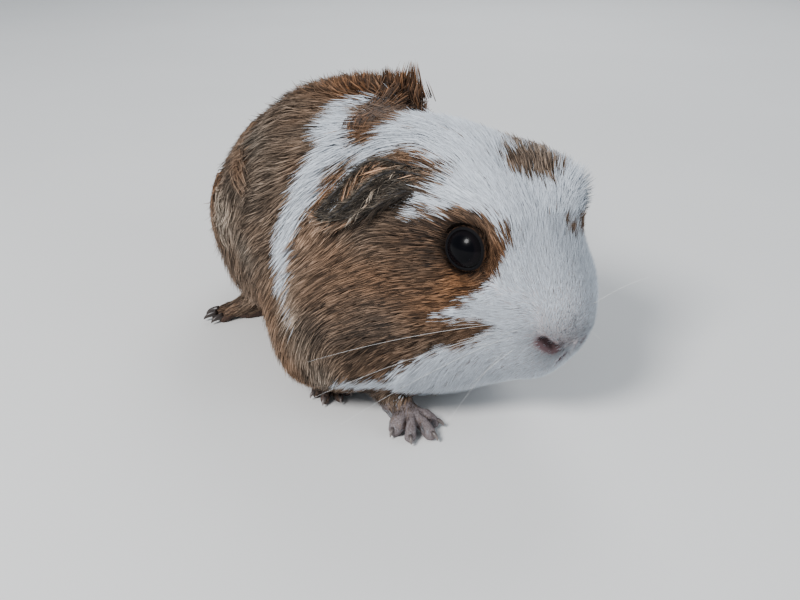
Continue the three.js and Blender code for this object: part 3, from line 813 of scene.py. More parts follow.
class Roots:
    """Places on the skin where tufts grow."""

    def __init__(self, mesh):
        mesh.calc_loop_triangles()
        corners = read(mesh.loop_triangles, "vertices", 3, np.int32)
        loops = read(mesh.loop_triangles, "loops", 3, np.int32)
        self.skin = points_of(mesh), normals_of(mesh), values_of(mesh, "rise", "vector", 3)
        bake = read(mesh.uv_layers["OFBake"].data, "uv", 2).astype(float)
        ear = values_of(mesh, "ear")
        density = self.density(corners, values_of(mesh, "bare"), ear)
        count = np.floor(density + DRAW.random(len(density))).astype(int)
        chosen = np.repeat(np.arange(len(count)), count)
        mix = DRAW.dirichlet((1, 1, 1), len(chosen))[:, :, None]
        ids = corners[chosen]
        self.at, normal, self.rise = ((values[ids] * mix).sum(axis=1) for values in self.skin)
        self.normal = unit(normal)
        self.bake = (bake[loops[chosen]] * mix).sum(axis=1)
        self.ear = ear[ids].mean(axis=1) > 0
        self.on_foot = footness(self.at) > ON_FOOT
        self.hind = self.at[:, 1] > HIND_FROM

    def density(self, corners, bare, ear):
        """How many tufts each triangle of the skin should have."""
        points, normals, rise = self.skin
        a, b, c = points[corners].transpose(1, 0, 2)
        area = norm(np.cross(b - a, c - a)) / 2
        centre = points[corners].mean(axis=1)
        density = hair_growth(to_head(centre))[0]
        underside = (normals[corners].mean(axis=1)[:, 2] < -0.5) & (centre[:, 2] < 14)
        density = density * np.where(underside, 0.35, 1.0)
        density = density * (1 - bare[corners].mean(axis=1))
        on_feet = np.where(centre[:, 1] > HIND_FROM, 5.0 * (centre[:, 2] > 3), 4.0 * (centre[:, 2] > 2))
        density = np.where(footness(centre) > ON_FOOT, on_feet, density)
        density = np.where(ear[corners].mean(axis=1) > 0, EAR_TUFTS[0], density)
        depth = norm(rise[corners].mean(axis=1))
        density = density * (1 + 0.6 * smooth_step(9, 14, depth))
        density = density * (1 + 0.9 * smooth_step(0, 4, depth_in_band(centre, PARTING)))
        return THINNING * density * area


class Tufts:
    """The bent paths, widths and colours of all tufts."""

    def __init__(self, roots):
        self.roots, self.start, self.own_normal, self.bake = roots, roots.at, roots.normal, roots.bake
        self.head = to_head(roots.at)
        self.root_tree, self.skin_tree = tree_of(roots.at), tree_of(roots.skin[0])
        sleek = smooth_step(-50, -34, self.head[:, 0])
        wander = 0.2 * ripples(roots.at, 11, 3) + 0.12 * ripples(roots.at, 4, 4) + DRAW.normal(0, 0.09, len(roots.at))
        self.draw_sizes()
        self.draw_paths(wander * (1 - 0.45 * sleek))
        self.draw_colours()
        forward = self.head[:, 0]
        self.kind = np.select([roots.ear, forward > FINE_FROM, forward > BODY_BEHIND], [EARS, FACE, CHEEKS], BODY)

    def draw_sizes(self):
        roots, n = self.roots, len(self.start)
        _, length, width = hair_growth(self.head)
        length = length * DRAW.uniform(0.72, 1.18, n)
        length *= 1 - 0.45 * nearness(roots.at, WHORL, 5)
        length = np.where(roots.on_foot, np.where(roots.hind, 3.6, 2.0) * DRAW.uniform(0.6, 1.2, n), length)
        width = np.where(roots.on_foot, np.where(roots.hind, 0.2, 0.13), width) * DRAW.uniform(0.75, 1.25, n)
        length = np.where(roots.ear, EAR_TUFTS[1] * DRAW.uniform(0.7, 1.3, n), length)
        self.width = np.where(roots.ear, EAR_TUFTS[2], width)
        for side in SIDES:
            beyond, distance, *_ = lid_gap(roots.at, side)
            near_eye = (distance < 16) & (beyond < 45)
            length = np.where(near_eye, length * np.interp(beyond, [5, 45], [0.45, 1.0]), length)
        depth = norm(roots.rise)
        self.length = np.where(depth > STANDS_FROM, np.maximum(length, depth), length)

    def draw_stand(self):
        """How far through the coat's depth each tip stands."""
        n = len(self.start)
        stand = np.where(DRAW.random(n) < 0.62, DRAW.uniform(0.88, 1.06, n), DRAW.uniform(0.35, 0.8, n))
        stand = np.where(DRAW.random(n) < 0.05, DRAW.uniform(1.0, 1.28, n), stand)
        for *place, radius, gain in STANDING_OUT:
            stand *= 1 + gain * nearness(self.start, place, radius)
        return stand

    def draw_paths(self, wander):
        roots, length, stand = self.roots, self.length, self.draw_stand()
        depth = norm(roots.rise)
        reach = np.sqrt(np.maximum(length**2 - (stand * depth) ** 2, (0.25 * length) ** 2))
        way = self.way_at(roots.at, roots.normal, wander)
        half, normal, half_rise = self.settle(roots.at + way * (reach / 2)[:, None])
        onward = self.way_at(half, normal, wander)
        flat_tip = self.gathered(half + onward * (reach / 2)[:, None])
        flat_tip, tip_normal, tip_rise = self.settle(flat_tip)
        tip_depth = norm(tip_rise)
        tip_rise = np.where((tip_depth > 0.5)[:, None], tip_rise, tip_normal * np.maximum(tip_depth, 0.25)[:, None])
        tip = flat_tip + tip_rise * stand[:, None]
        steep = 1 - 0.5 * smooth_step(0.4, 1.5, stand * tip_depth / reach)
        lift = half_rise * 0.5 + tip_rise * 0.5
        bend = half + lift * (stand * steep)[:, None] + normal * (0.03 * length)[:, None]

        ear, along_ear = roots.ear[:, None], self.ear_way()
        self.tip = np.where(ear, roots.at + along_ear * length[:, None] + roots.normal * 0.5, tip)
        self.bend = np.where(ear, roots.at + along_ear * (length / 2)[:, None] + roots.normal * 0.55, bend)
        self.facing = unit(roots.normal * 0.5 + np.where(ear, roots.normal, tip_normal) * 0.5)

    def draw_colours(self):
        roots = self.roots
        seen_at = self.start * 0.3 + self.tip * 0.7
        tint, light = shades(seen_at)
        near_eye = np.min([norm(self.head - mirrored(EYE_AT, side)) for side in SIDES], axis=0)
        streaks = 0.35 + 0.65 * smooth_step(8, 15, near_eye)
        near_ear = 1 - smooth_step(5, 12, norm(self.head - [-15, -19, 7]))
        depth = browning(seen_at) + 2.8 * streaks * (self.lock - 0.5)
        depth += near_ear * (3 * (self.lock - 0.5) + 5.5 * (self.shade - 0.5))
        brown = depth + DRAW.normal(0, 0.55, len(depth)) * streaks > 0
        dark_foot = roots.hind | (roots.at[:, 0] < -10)
        brown |= roots.on_foot & dark_foot
        brown &= ~roots.on_foot | dark_foot | (DRAW.random(len(depth)) < 0.25) | (roots.at[:, 2] > 4.2)
        light = np.where(brown, light, self.light_of_white())
        light *= np.where(roots.on_foot & ~brown, 0.5, 1)
        for side in SIDES:
            beyond, distance, *_ = lid_gap(roots.at, side)
            light *= np.where(distance < 14, 0.2 + 0.8 * smooth_step(9, 26, beyond), 1.0)
        self.tint, self.light = np.where(roots.ear, 0.05, tint), np.where(roots.ear, 0.75, light)
        self.brown = brown | roots.ear

    def light_of_white(self):
        """The white is greyer at the tip of the muzzle, with dark pores above the nose."""
        tip, pores = nearness(self.head, (29, -2, -15), 6), nearness(self.head, (27, -3, -9), 5)
        near_nose = np.max([groove(self.head, *nose_lines(side), 3.6) for side in SIDES], axis=0)
        grey = (1 - 0.3 * tip) * (1 - 0.55 * near_nose)
        return grey * np.where(DRAW.random(len(grey)) < 0.45 * pores, 0.32, 1.0)

    def settle(self, points):
        """Points put down on the skin, with the normal and the rise to the tips of the coat there."""
        near = nearest(self.skin_tree, points)
        at, normal, rise = (values[near] for values in self.roots.skin)
        off = ((points - at) * normal).sum(axis=1, keepdims=True)
        return points - normal * off, normal, rise

    def way_at(self, points, normals, wander):
        way = lie_of_coat(points, normals)
        for foot in FEET:
            toes = np.mean([root for root, _ in claw_lines(foot)[1]], axis=0) - middle(foot)
            way += foot_share(points, foot)[:, None] * 4 * unit(toes * [1, 1, 0])
        way = unit(flat_on(way, normals))
        return unit(way + np.cross(normals, way) * wander[:, None])

    def ear_way(self):
        right, left = (turned_to_row(mirrored(EAR_HAIR_WAY, side)) for side in (-1, 1))
        way = np.where((self.head[:, 1] > 0)[:, None], left, right)
        way = unit(flat_on(way, self.roots.normal))
        return unit(way + DRAW.normal(0, 0.2, way.shape))

    def leaders(self, share):
        """For each tuft the nearest one of a drawn share of them, and that one's drawn value."""
        places = self.roots.at
        chosen = np.flatnonzero(DRAW.random(len(places)) < share)
        own = nearest(tree_of(places[chosen]), places)
        return chosen[own], DRAW.random(len(chosen))[own]

    def gathered(self, tips):
        """Draws neighbouring tips together into locks, and gives each lock and strand a value of its own."""
        roots, n = self.roots, len(tips)
        leader, self.lock = self.leaders(0.06)
        _, strand = self.leaders(0.3)
        self.shade = np.where(DRAW.random(n) < 0.35, DRAW.random(n), strand)
        pull = np.where(roots.ear, 0, 0.45 * smooth_step(5.5, 11.5, self.length)) * DRAW.uniform(0.3, 1.0, n)
        shift = tips[leader] - roots.at[leader] - (tips - roots.at)
        drawn = roots.at[leader] - roots.at
        return tips + shift * 0.6 * pull[:, None] + drawn * pull[:, None]

    def add(self, start, way, length, rise, width, tint, light, facing):
        """Adds free brown tufts, such as those that grow over the edge of an ear."""
        tip = start + way * length[:, None] - [0, 0, 1] * (0.12 * length)[:, None]
        bend = start + way * (length / 2)[:, None] + facing * rise[:, None]
        self.add_bent(start, bend, tip, width, tint, light, facing, EARS)

    def add_bent(self, start, bend, tip, width, tint, light, facing, kind):
        n = len(start)
        grown = {
            "start": start, "own_normal": facing, "bend": bend, "tip": tip, "facing": facing,
            "bake": self.roots.bake[nearest(self.root_tree, start)], "width": np.full(n, width), "tint": tint,
            "light": light, "lock": DRAW.random(n), "shade": DRAW.random(n), "brown": np.ones(n, bool),
            "kind": np.full(n, kind),
        }
        for name, values in grown.items():
            setattr(self, name, np.concatenate([getattr(self, name), values]))


# ---- locks and fringes
# Golden hairs over the upper edge of an ear, dark ones under it as painted shade, beige ones at its tip, and pale
# ones on its fold, partly white hair and partly a painted highlight.
EAR_FRINGE = [  # how many, u, v, sideways lean, length, lift, width, tint, light
    (520, (0.05, 0.62), (0.8, 1.03), -0.42, (5, 9), 1.3, 0.24, 0.5, 2.5),
    (320, (0.1, 0.5), (-0.1, 0.7), -0.25, (5, 9), 1.6, 0.24, 0.3, 0.25),
    (200, (0.6, 0.97), (-0.14, 0.04), -0.35, (4, 7), 0.5, 0.24, 0.45, 1.6),
    (110, (0.2, 0.58), None, -0.9, (3, 6), 2.2, 0.12, 0.05, 3.4),
]
# Upright locks of the crest: foot and tip.
CREST_LOCKS = [
    ((16, 6, 77), (16.8, 6, 89.2)), ((12.5, 7, 78), (13, 7, 85.6)), ((9, 8, 78), (8.5, 7.5, 86.6)),
    ((5, 9, 77.5), (4, 8.5, 86.2)), ((0, 11, 77), (-1.5, 10, 85.6)), ((-5, 13, 76), (-7, 12, 84)),
    ((-10, 15, 74), (-13, 14, 81.6)), ((-16, 17, 72), (-19, 15.5, 77.8)), ((14, 9, 76.5), (15, 10, 85)),
    ((3, 12, 76.5), (2, 14, 84.6)), ((17, 4, 76), (17.6, 3, 83.5)),
]
LOCK_HAIRS, LOCK_WIDTH, LOCK_DROOP = 75, 1.9, 3.5
LOCK_FACING = np.array([-0.35, -0.75, 0.55])
LOCK_HAIR_WIDTH, FLANK_HAIR_WIDTH = 0.3, 0.34
# Long locks that lie on the coat: path, half width, hairs, share of the coat's depth, tint, light.
FLANK_LOCKS = [
    ([(-28, 22, 69.5), (-34, 19, 65.5), (-38.3, 16, 61.5), (-39.3, 6.5, 59.6), (-38.8, -3, 57.4), (-37.5, -9, 54.6),
      (-35.9, -14.5, 51.9)], 4, 460, 1, 0.5, 1.25),
    ([(-42.5, 12, 54.3), (-45.1, 13, 49.9), (-47.2, 14.5, 44.4), (-47.8, 10.6, 40.6), (-47.6, 8, 37.5),
      (-46.6, 4, 33.7), (-44.5, -1, 31.2)], 3.6, 380, 1.1, 0.6, 1.4),
    ([(-43.5, 6, 51), (-45, 7, 46), (-45.6, 4, 41), (-45, 0, 36.5), (-43, -5, 32)], 3.4, 300, 1.04, 0, 2.6),
    ([(18, 2, 80), (11, -3, 80), (4, -9, 79), (-2, -19, 77.5), (-6, -30, 74.5)], 6, 620, 1, 0.95, 0.8),
]


def ear_fringe(tufts, side):
    outward = turned_to_row(mirrored(EAR_OUTWARD, side))
    for count, u_range, v_range, lean, lengths, lift, width, tint, light in EAR_FRINGE:
        u = DRAW.uniform(*u_range, count)
        fold = np.interp(u, [0.2, 0.3, 0.4, 0.55], [0.9, 0.75, 0.5, 0.12])
        v = fold + DRAW.normal(0, 0.05, count) if v_range is None else DRAW.uniform(*v_range, count)
        start = ear_points(u, v, 1, side)
        ahead = ear_points(np.minimum(u + 0.1, 1), v, 1, side)
        lower = ear_points(u, v - 0.1, 1, side)
        way = unit(unit(ahead - start) + unit(start - lower) * lean + DRAW.normal(0, 0.1, start.shape))
        tufts.add(
            start - outward * 0.4, way, DRAW.uniform(*lengths, count), DRAW.uniform(0.4, 1.1, count) * lift, width,
            np.clip(tint + DRAW.normal(0, 0.12, count), 0, 1), light * DRAW.uniform(0.75, 1.2, count),
            np.tile(outward, (count, 1)),
        )


def crest_lock(tufts, foot, tip):
    spread = DRAW.normal(0, 1, (LOCK_HAIRS, 3)) * [LOCK_WIDTH, LOCK_WIDTH, 0.4]
    start = foot + spread
    end = tip + spread * 0.42 + DRAW.normal(0, 0.35, spread.shape)
    run = end - [0, 0, 1] * DRAW.uniform(0, LOCK_DROOP, (LOCK_HAIRS, 1)) - start
    length = norm(run)
    way = unit(run + [0, 0, 1] * (0.12 * length)[:, None])
    facing = unit(LOCK_FACING + DRAW.normal(0, 0.15, start.shape))
    tint, light = shades(start)
    rise = DRAW.uniform(-0.3, 0.6, LOCK_HAIRS)
    light = light * DRAW.uniform(0.7, 1.2, LOCK_HAIRS)
    tufts.add(start, way, length, rise, LOCK_HAIR_WIDTH, tint, light, facing)


def along_path(path, t):
    """Places at shares t of a path's length."""
    path = np.array(path, float)
    steps = np.concatenate([[0], np.cumsum(norm(np.diff(path, axis=0)))])
    return np.stack([np.interp(t, steps / steps[-1], axis) for axis in path.T], axis=1)


def flank_lock(tufts, path, half_width, count, share, tint, light):
    begin = DRAW.uniform(-0.04, 0.68, count)
    run = DRAW.uniform(0.22, 0.34, count)
    aside = np.clip(DRAW.normal(0, half_width * 0.6, count), -half_width, half_width)
    wave = DRAW.uniform(0, 2 * np.pi)
    spots = []
    for portion, raised in ((0, 0.3), (0.5, 1.0), (1, 0.97)):
        t = begin + run * portion
        onward = unit(along_path(path, t + 0.05) - along_path(path, t - 0.05))
        flat, normal, _ = tufts.settle(along_path(path, t))
        sideways = unit(np.cross(onward, normal))
        place = flat + sideways * (aside * (1 - 0.35 * t) + 0.6 * np.sin(9 * t + wave))[:, None]
        flat, normal, rise = tufts.settle(place)
        spots.append(flat + rise * (share * raised * DRAW.uniform(0.88, 1.04, count))[:, None])
    start, bend, tip = spots
    bend = bend + (bend - (start + tip) / 2) * 0.8
    tint = np.clip(0.5 * shades(tip)[0] + 0.5 * tint, 0, 1)
    light = light * DRAW.uniform(0.45, 1.25, count)
    tufts.add_bent(start, bend, tip, FLANK_HAIR_WIDTH, tint, light, normal, BODY)


# ---- tufts into meshes
EDGES = 3  # of a tuft's cross-section
STATIONS = {1: [0.0], 2: [0.0, 0.5]}  # where along a tuft its rings lie, by their number
BAKE_PATCH = 0.0012  # half the height of the patch of the bake that a tuft takes
ROOT_DEPTH = 0.15  # of a tuft's root in the skin
LOWEST = 0.05  # no tuft reaches nearer the floor


def on_bend(start, bend, tip, t):
    """A place on a bent path, and the way that it runs there."""
    centre = (1 - t) ** 2 * start + 2 * t * (1 - t) * bend + t * t * tip
    return centre, unit(2 * (1 - t) * (bend - start) + 2 * t * (tip - bend))


def tube(rings, edges, base=0):
    """Triangles between rings of points that follow one another."""
    wall = []
    for k in range(rings - 1):
        for j in range(edges):
            a, b = base + k * edges + j, base + k * edges + (j + 1) % edges
            wall += [(b, a, a + edges), (b, a + edges, b + edges)]
    return wall


def tuft_arrays(tufts, pick, rings):
    """Points, triangles, normals, shares of the length and places in the bake of tapered tufts."""
    bend, tip, facing = tufts.bend[pick], tufts.tip[pick], tufts.facing[pick]
    start = tufts.start[pick] - tufts.own_normal[pick] * ROOT_DEPTH
    count, per = len(start), rings * EDGES + 1
    swell = np.interp(STATIONS[rings], [0, 0.3, 0.66, 1], [0.9, 1.0, 0.78, 0.05])
    points, normals = np.empty((2, count, per, 3))
    along, local = np.empty((count, per)), np.empty((count, per, 2))
    for k, t in enumerate(STATIONS[rings]):
        centre, tangent = on_bend(start, bend, tip, t)
        side = unit(np.cross(tangent, facing))
        over = np.cross(side, tangent)
        half = (tufts.width[pick] * swell[k] / 2)[:, None]
        for j, (a, b) in enumerate([(-1, -0.25), (1, -0.25), (0, 0.75)]):
            i = k * EDGES + j
            points[:, i] = centre + side * half * a + over * half * b
            normals[:, i] = unit(facing * 0.9 + side * a * 0.35 + over * 0.3)
            along[:, i] = t
            local[:, i] = (a * BAKE_PATCH / 2, (2 * t - 1) * BAKE_PATCH)
    points[:, -1], normals[:, -1], along[:, -1], local[:, -1] = tip, unit(facing + 0.3 * over), 1, (0, BAKE_PATCH)
    points[:, :, 2] = np.maximum(points[:, :, 2], LOWEST)
    last = (rings - 1) * EDGES
    wall = tube(rings, EDGES) + [(last + (j + 1) % EDGES, last + j, per - 1) for j in range(EDGES)] + [(0, 1, 2)]
    triangles = np.array(wall)[None] + (np.arange(count) * per)[:, None, None]
    bake = (tufts.bake[pick][:, None, :] + local).reshape(-1, 2)
    return points.reshape(-1, 3), triangles.reshape(-1, 3), normals.reshape(-1, 3), along.ravel(), bake


def tuft_piece(name, tufts, pick, rings, material, slot):
    points, triangles, normals, along, bake = tuft_arrays(tufts, pick, rings)
    mesh = triangle_mesh(name, points, triangles)
    store_values(mesh, "along", along)
    for value in ("shade", "lock", "tint", "light"):
        store_values(mesh, value, np.repeat(getattr(tufts, value)[pick], rings * EDGES + 1))
    layer = mesh.uv_layers.new(name="OFBake")
    layer.data.foreach_set("uv", bake[triangles.ravel()].astype(np.float32).ravel())
    mesh.normals_split_custom_set_from_vertices(normals.astype(np.float32))
    add_piece(mesh, material, slot)


def grow_coat(skin, finishes):
    tufts = Tufts(Roots(skin))
    for side in SIDES:
        ear_fringe(tufts, side)
    for lock in CREST_LOCKS:
        crest_lock(tufts, *lock)
    for lock in FLANK_LOCKS:
        flank_lock(tufts, *lock)
    for kind, (region, rings) in enumerate(REGIONS.items()):
        each = (rings - 1) * EDGES * 2 + EDGES + 1
        for slot, material in finishes.items():
            pick = np.flatnonzero((tufts.kind == kind) & (tufts.brown == (slot == "brown_coat")))
            order = pick[np.argsort(tufts.start[pick][:, 1], kind="stable")]
            parts = max(1, math.ceil(len(pick) * each / MOST_TRIANGLES))
            for i, some in enumerate(np.array_split(order, parts)):
                if len(some):
                    tuft_piece(f"{region}_{slot}_{i + 1}", tufts, some, rings, material, slot)


# ---- eyes
GLOBE_ROWS, GLOBE_COLUMNS = 48, 64


def eyeball(side, material):
    """A globe whose pole is the middle of the gaze."""
    rows, columns = GLOBE_ROWS, GLOBE_COLUMNS
    gaze, centre = gaze_of(side), eye_at(side)
    sideways = unit(np.cross(gaze, [0, 0, 1.0]))
    upright = np.cross(sideways, gaze)
    points, from_gaze = [centre + gaze * EYE_RADIUS], [0.0]
    for i in range(1, rows):
        angle = math.pi * i / rows
        for j in range(columns):
            turn = 2 * math.pi * j / columns
            ring = sideways * math.cos(turn) + upright * math.sin(turn)
            points.append(centre + EYE_RADIUS * (gaze * math.cos(angle) + ring * math.sin(angle)))
            from_gaze.append(angle)
    points.append(centre - gaze * EYE_RADIUS)
    from_gaze.append(math.pi)
    triangles = []
    last = len(points) - 1
    for j in range(columns):
        k = (j + 1) % columns
        triangles += [(0, 1 + k, 1 + j), (last, last - columns + j, last - columns + k)]
        for i in range(rows - 2):
            a, b = 1 + i * columns + j, 1 + i * columns + k
            triangles += [(a, b + columns, a + columns), (a, b, b + columns)]
    word = "left" if side > 0 else "right"
    mesh = triangle_mesh(f"eyeball_{word}", np.array(points), np.array(triangles))
    store_values(mesh, "from_gaze", np.degrees(from_gaze))
    add_piece(mesh, material, "eye", f"eye_{word}")


# ---- claws and whiskers: bent tapered rods
ROD_STEPS = 8
CLAW_EDGES, WHISKER_EDGES = 8, 4
CLAW_TIP = 0.16  # its radius
WHISKER_RADII, LONG_WHISKER_RADII = (0.045, 0.015), (0.04, 0.014)  # at the root and at the tip
WHISKER_ROOM = np.array([10, 11, -1]), np.array([10, 11, 9])  # how far past the CAD box a tip may reach
LONG_WHISKERS = [  # root in the head's frame, and end
    ((17, -14.5, -14), (-23.6, -78, 20)), ((18, -14, -16), (-16.3, -85, 16.4)), ((19, -12.5, -20), (9.6, -85, 12.4)),
    ((15, -15.5, -13), (-23.2, -72, 27.5)), ((24, 5, -9), (59.8, -85, 51.1)),
]


def rods(name, curves, edges):
    """Joined rods; each curve is (start, bend, tip, root radius, tip radius)."""
    points, triangles, along = [], [], []
    for start, bend, tip, wide, narrow in curves:
        base = len(points)
        for k in range(ROD_STEPS + 1):
            t = k / ROD_STEPS
            centre, tangent = on_bend(start, bend, tip, t)
            side = unit(np.cross(tangent, [0.02, 0.01, 1.0]))
            over = np.cross(side, tangent)
            radius = wide + (narrow - wide) * t**1.4
            for j in range(edges):
                turn = 2 * math.pi * j / edges
                points.append(centre + radius * (side * math.cos(turn) * 0.8 + over * math.sin(turn)))
                along.append(t)
        triangles += tube(ROD_STEPS + 1, edges, base)
        for ring, order, end in ((0, 1, start), (ROD_STEPS, -1, tip + unit(tip - bend) * narrow)):
            hub, first = len(points), base + ring * edges
            points.append(end)
            along.append(ring / ROD_STEPS)
            triangles += [(first + j, first + (j + 1) % edges, hub)[::order] for j in range(edges)]
    mesh = triangle_mesh(name, np.array(points), np.array(triangles))
    store_values(mesh, "along", along)
    return mesh


def claws(foot, material, slot, thick, share):
    """The claws of a foot; share is how much of each CAD claw's length they reach."""
    nodes, lines = claw_lines(foot)
    curves = []
    for near, far in lines:
        run = far - near
        start, bend = near - run * 0.35 + [0, 0, 0.1], near + run * 0.55 + [0, 0, 1.1]
        curves.append((start, bend, near + run * share, thick, CLAW_TIP))
    add_piece(rods(f"claws_{foot[5:]}", curves, CLAW_EDGES), material, slot, *nodes)


def whiskers(material):
    draw = np.random.default_rng(4)
    curves = []
    for side in SIDES:
        for row, column in [(row, column) for row in range(3) for column in range(4 if row else 2)]:
            start = mirrored((21.5 - 2.6 * column, 9.8 + 1.4 * column, -10.5 - 2.6 * row), side)
            way = unit(mirrored((-0.15 - 0.34 * column, 0.95, 0.12 - 0.28 * row), side) + draw.normal(0, 0.12, 3))
            reach = draw.uniform(10, 17) + 3 * column
            start, way = from_head(start), turned_to_row(way)
            tip = start + way * reach - np.array([0, 0, 0.12 * reach])
            curves.append((start - way * 2, start + way * reach * 0.55, tip, *WHISKER_RADII))
    for root, end in LONG_WHISKERS:
        start, end = from_head(root), np.array(end, float)
        curves.append((start, (start + end) / 2 + [0, 0, 2.5], end, *LONG_WHISKER_RADII))
    low, high = np.array(CAD_BOX[0]) / MM - WHISKER_ROOM[0], np.array(CAD_BOX[1]) / MM + WHISKER_ROOM[1]
    inside = [c for c in curves if (c[2] > low).all() and (c[2] < high).all()]
    add_piece(rods("whiskers", inside, WHISKER_EDGES), material, "white_coat")


# ---- finishes
class Value:
    """A node's output; arithmetic on it adds Math nodes."""

    def __init__(self, tree, socket):
        self.tree, self.socket = tree, socket

    def _math(self, operation, a, b):
        node = self.tree.nodes.new("ShaderNodeMath")
        node.operation = operation
        for socket, value in zip(node.inputs, (a, b)):
            if isinstance(value, Value):
                self.tree.links.new(value.socket, socket)
            else:
                socket.default_value = value
        return Value(self.tree, node.outputs[0])

    def __add__(self, other):
        return self._math("ADD", self, other)

    def __sub__(self, other):
        return self._math("SUBTRACT", self, other)

    def __rsub__(self, other):
        return self._math("SUBTRACT", other, self)

    def __mul__(self, other):
        return self._math("MULTIPLY", self, other)

    __radd__, __rmul__ = __add__, __mul__


class Finish:
    """A material round one Principled shader."""

    def __init__(self, name, **constants):
        self.material = bpy.data.materials.new(name)
        self.material.use_nodes = True
        self.tree = self.material.node_tree
        self.shader = self.tree.nodes["Principled BSDF"]
        for socket, value in constants.items():
            self.shader.inputs[socket.replace("_", " ")].default_value = value

    def node(self, kind, settings=None, output=0, **inputs):
        node = self.tree.nodes.new("ShaderNode" + kind)
        for key, value in (settings or {}).items():
            if key == "stops":
                ramp = node.color_ramp.elements
                while len(ramp) < len(value):
                    ramp.new(0.5)
                for element, (position, colour) in zip(ramp, value):
                    element.position = position
                    element.color = (*colour, 1)
            else:
                setattr(node, key, value)
        for key, value in inputs.items():
            socket = node.inputs[int(key[1:])] if key[0] == "_" and key[1:].isdigit() else node.inputs[key]
            if isinstance(value, Value):
                self.tree.links.new(value.socket, socket)
            else:
                socket.default_value = value
        return Value(self.tree, node.outputs[output])

    def attribute(self, name):
        return self.node("Attribute", {"attribute_name": name}, output=2)

    def noise(self, scale, detail=2.0):
        place = self.node("TexCoord", output=3)
        return self.node("TexNoise", Vector=place, Scale=scale, Detail=detail, Roughness=0.5)

    def ramp(self, value, *stops):
        return self.node("ValToRGB", {"stops": stops}, Fac=value)

    def mottled(self, noise, first, second):
        return self.ramp(noise, (0.3, first), (0.7, second))

    def mix(self, factor, first, second, blend="MIX"):
        first, second = (c if isinstance(c, Value) else (*c, 1) for c in (first, second))
        settings = {"data_type": "RGBA", "blend_type": blend}
        return self.node("Mix", settings, output=2, _0=factor, _6=first, _7=second)

    def shaded(self, colour, value):
        """Multiplies a colour by a value."""
        grey = self.node("CombineColor", _0=value, _1=value, _2=value)
        return self.mix(1.0, colour, grey, "MULTIPLY")

    def bump(self, height, strength, distance):
        return self.node("Bump", Height=height, Strength=strength, Distance=distance)

    def feed(self, **links):
        for socket, value in links.items():
            self.tree.links.new(value.socket, self.shader.inputs[socket.replace("_", " ")])
        return self.material


def brown_coat():
    f = Finish("brown hair", Roughness=0.6, Specular_IOR_Level=0.14)
    along, shade = f.attribute("along"), f.attribute("shade")
    lock, tint = f.attribute("lock"), f.attribute("tint")
    grey = f.ramp(along, (0.0, (0.022, 0.018, 0.0145)), (0.45, (0.079, 0.066, 0.051)), (1.0, (0.212, 0.187, 0.157)))
    gold = f.ramp(along, (0.0, (0.03, 0.013, 0.0055)), (0.45, (0.104, 0.0425, 0.0155)), (1.0, (0.245, 0.114, 0.047)))
    light = f.attribute("light") * (0.1 + shade * shade * shade * 2.0 + lock * 0.44)
    return f.feed(Base_Color=f.shaded(f.mix(tint, grey, gold), light))


def white_coat():
    f = Finish("white hair", Roughness=0.55, Specular_IOR_Level=0.18)
    along, shade, lock = f.attribute("along"), f.attribute("shade"), f.attribute("lock")
    # The white's dark bluish roots are painted shade deep in the coat, and its blue tint along the whole hair is
    # painted cool light.
    colour = f.ramp(along, (0.0, (0.34, 0.345, 0.39)), (0.4, (0.64, 0.7, 0.78)), (1.0, (0.8, 0.86, 0.94)))
    colour = f.shaded(colour, f.attribute("light") * (0.62 + shade * 0.33 + lock * 0.15))
    return f.feed(Base_Color=colour)


def skin_finish():
    f = Finish("skin", Roughness=0.7, Specular_IOR_Level=0.12)
    fine, coarse = f.noise(2600), f.noise(420)
    pale = f.mottled(coarse, (0.46, 0.41, 0.42), (0.56, 0.53, 0.55))
    grey = f.mottled(coarse, (0.06, 0.046, 0.034), (0.1, 0.078, 0.058))
    gold = f.mottled(coarse, (0.08, 0.034, 0.014), (0.13, 0.056, 0.023))
    dark = f.shaded(f.mix(f.attribute("tint"), grey, gold), f.attribute("light"))
    colour = f.mix(f.attribute("brown"), pale, dark)
    foot = f.mottled(fine, (0.088, 0.072, 0.073), (0.235, 0.2, 0.204))
    # Painted shade between the toes.
    foot = f.mix(f.attribute("crease"), foot, (0.05, 0.032, 0.028))
    colour = f.mix(f.attribute("foot"), colour, foot)
    # Dark feet: the hind feet's own dark skin, and painted shade on the right fore foot.
    dark_foot = f.mottled(fine, (0.035, 0.024, 0.02), (0.1, 0.062, 0.048))
    colour = f.mix(f.attribute("dark_foot"), colour, dark_foot)
    # The nose's own mauve skin, which along the lip and philtrum grooves is painted shade, and near black in the
    # nostrils as painted shade.
    colour = f.mix(f.attribute("nose"), colour, (0.1, 0.062, 0.068))
    colour = f.mix(f.attribute("nostril"), colour, (0.012, 0.006, 0.006))
    ear = f.mottled(fine, (0.03, 0.029, 0.031), (0.09, 0.084, 0.084))
    colour = f.mix(f.attribute("ear"), colour, ear)
    colour = f.mix(f.attribute("lid"), colour, (0.002, 0.002, 0.003))
    bump = f.bump(fine, 0.5, 0.0002)
    return f.feed(Base_Color=colour, Normal=bump)


def eye_finish():
    f = Finish("eye", Roughness=0.25, Specular_IOR_Level=0.05, Coat_Weight=0.065, Coat_Roughness=0.02)
    ring = f.node("MapRange", _0=f.attribute("from_gaze"), _1=0.0, _2=60.0, _3=0.0, _4=1.0)
    pupil = (0.001, 0.001, 0.002)
    colour = f.ramp(ring, (0.0, pupil), (0.5, pupil), (0.6, (0.004, 0.003, 0.004)), (0.9, (0.002, 0.002, 0.002)))
    return f.feed(Base_Color=colour)


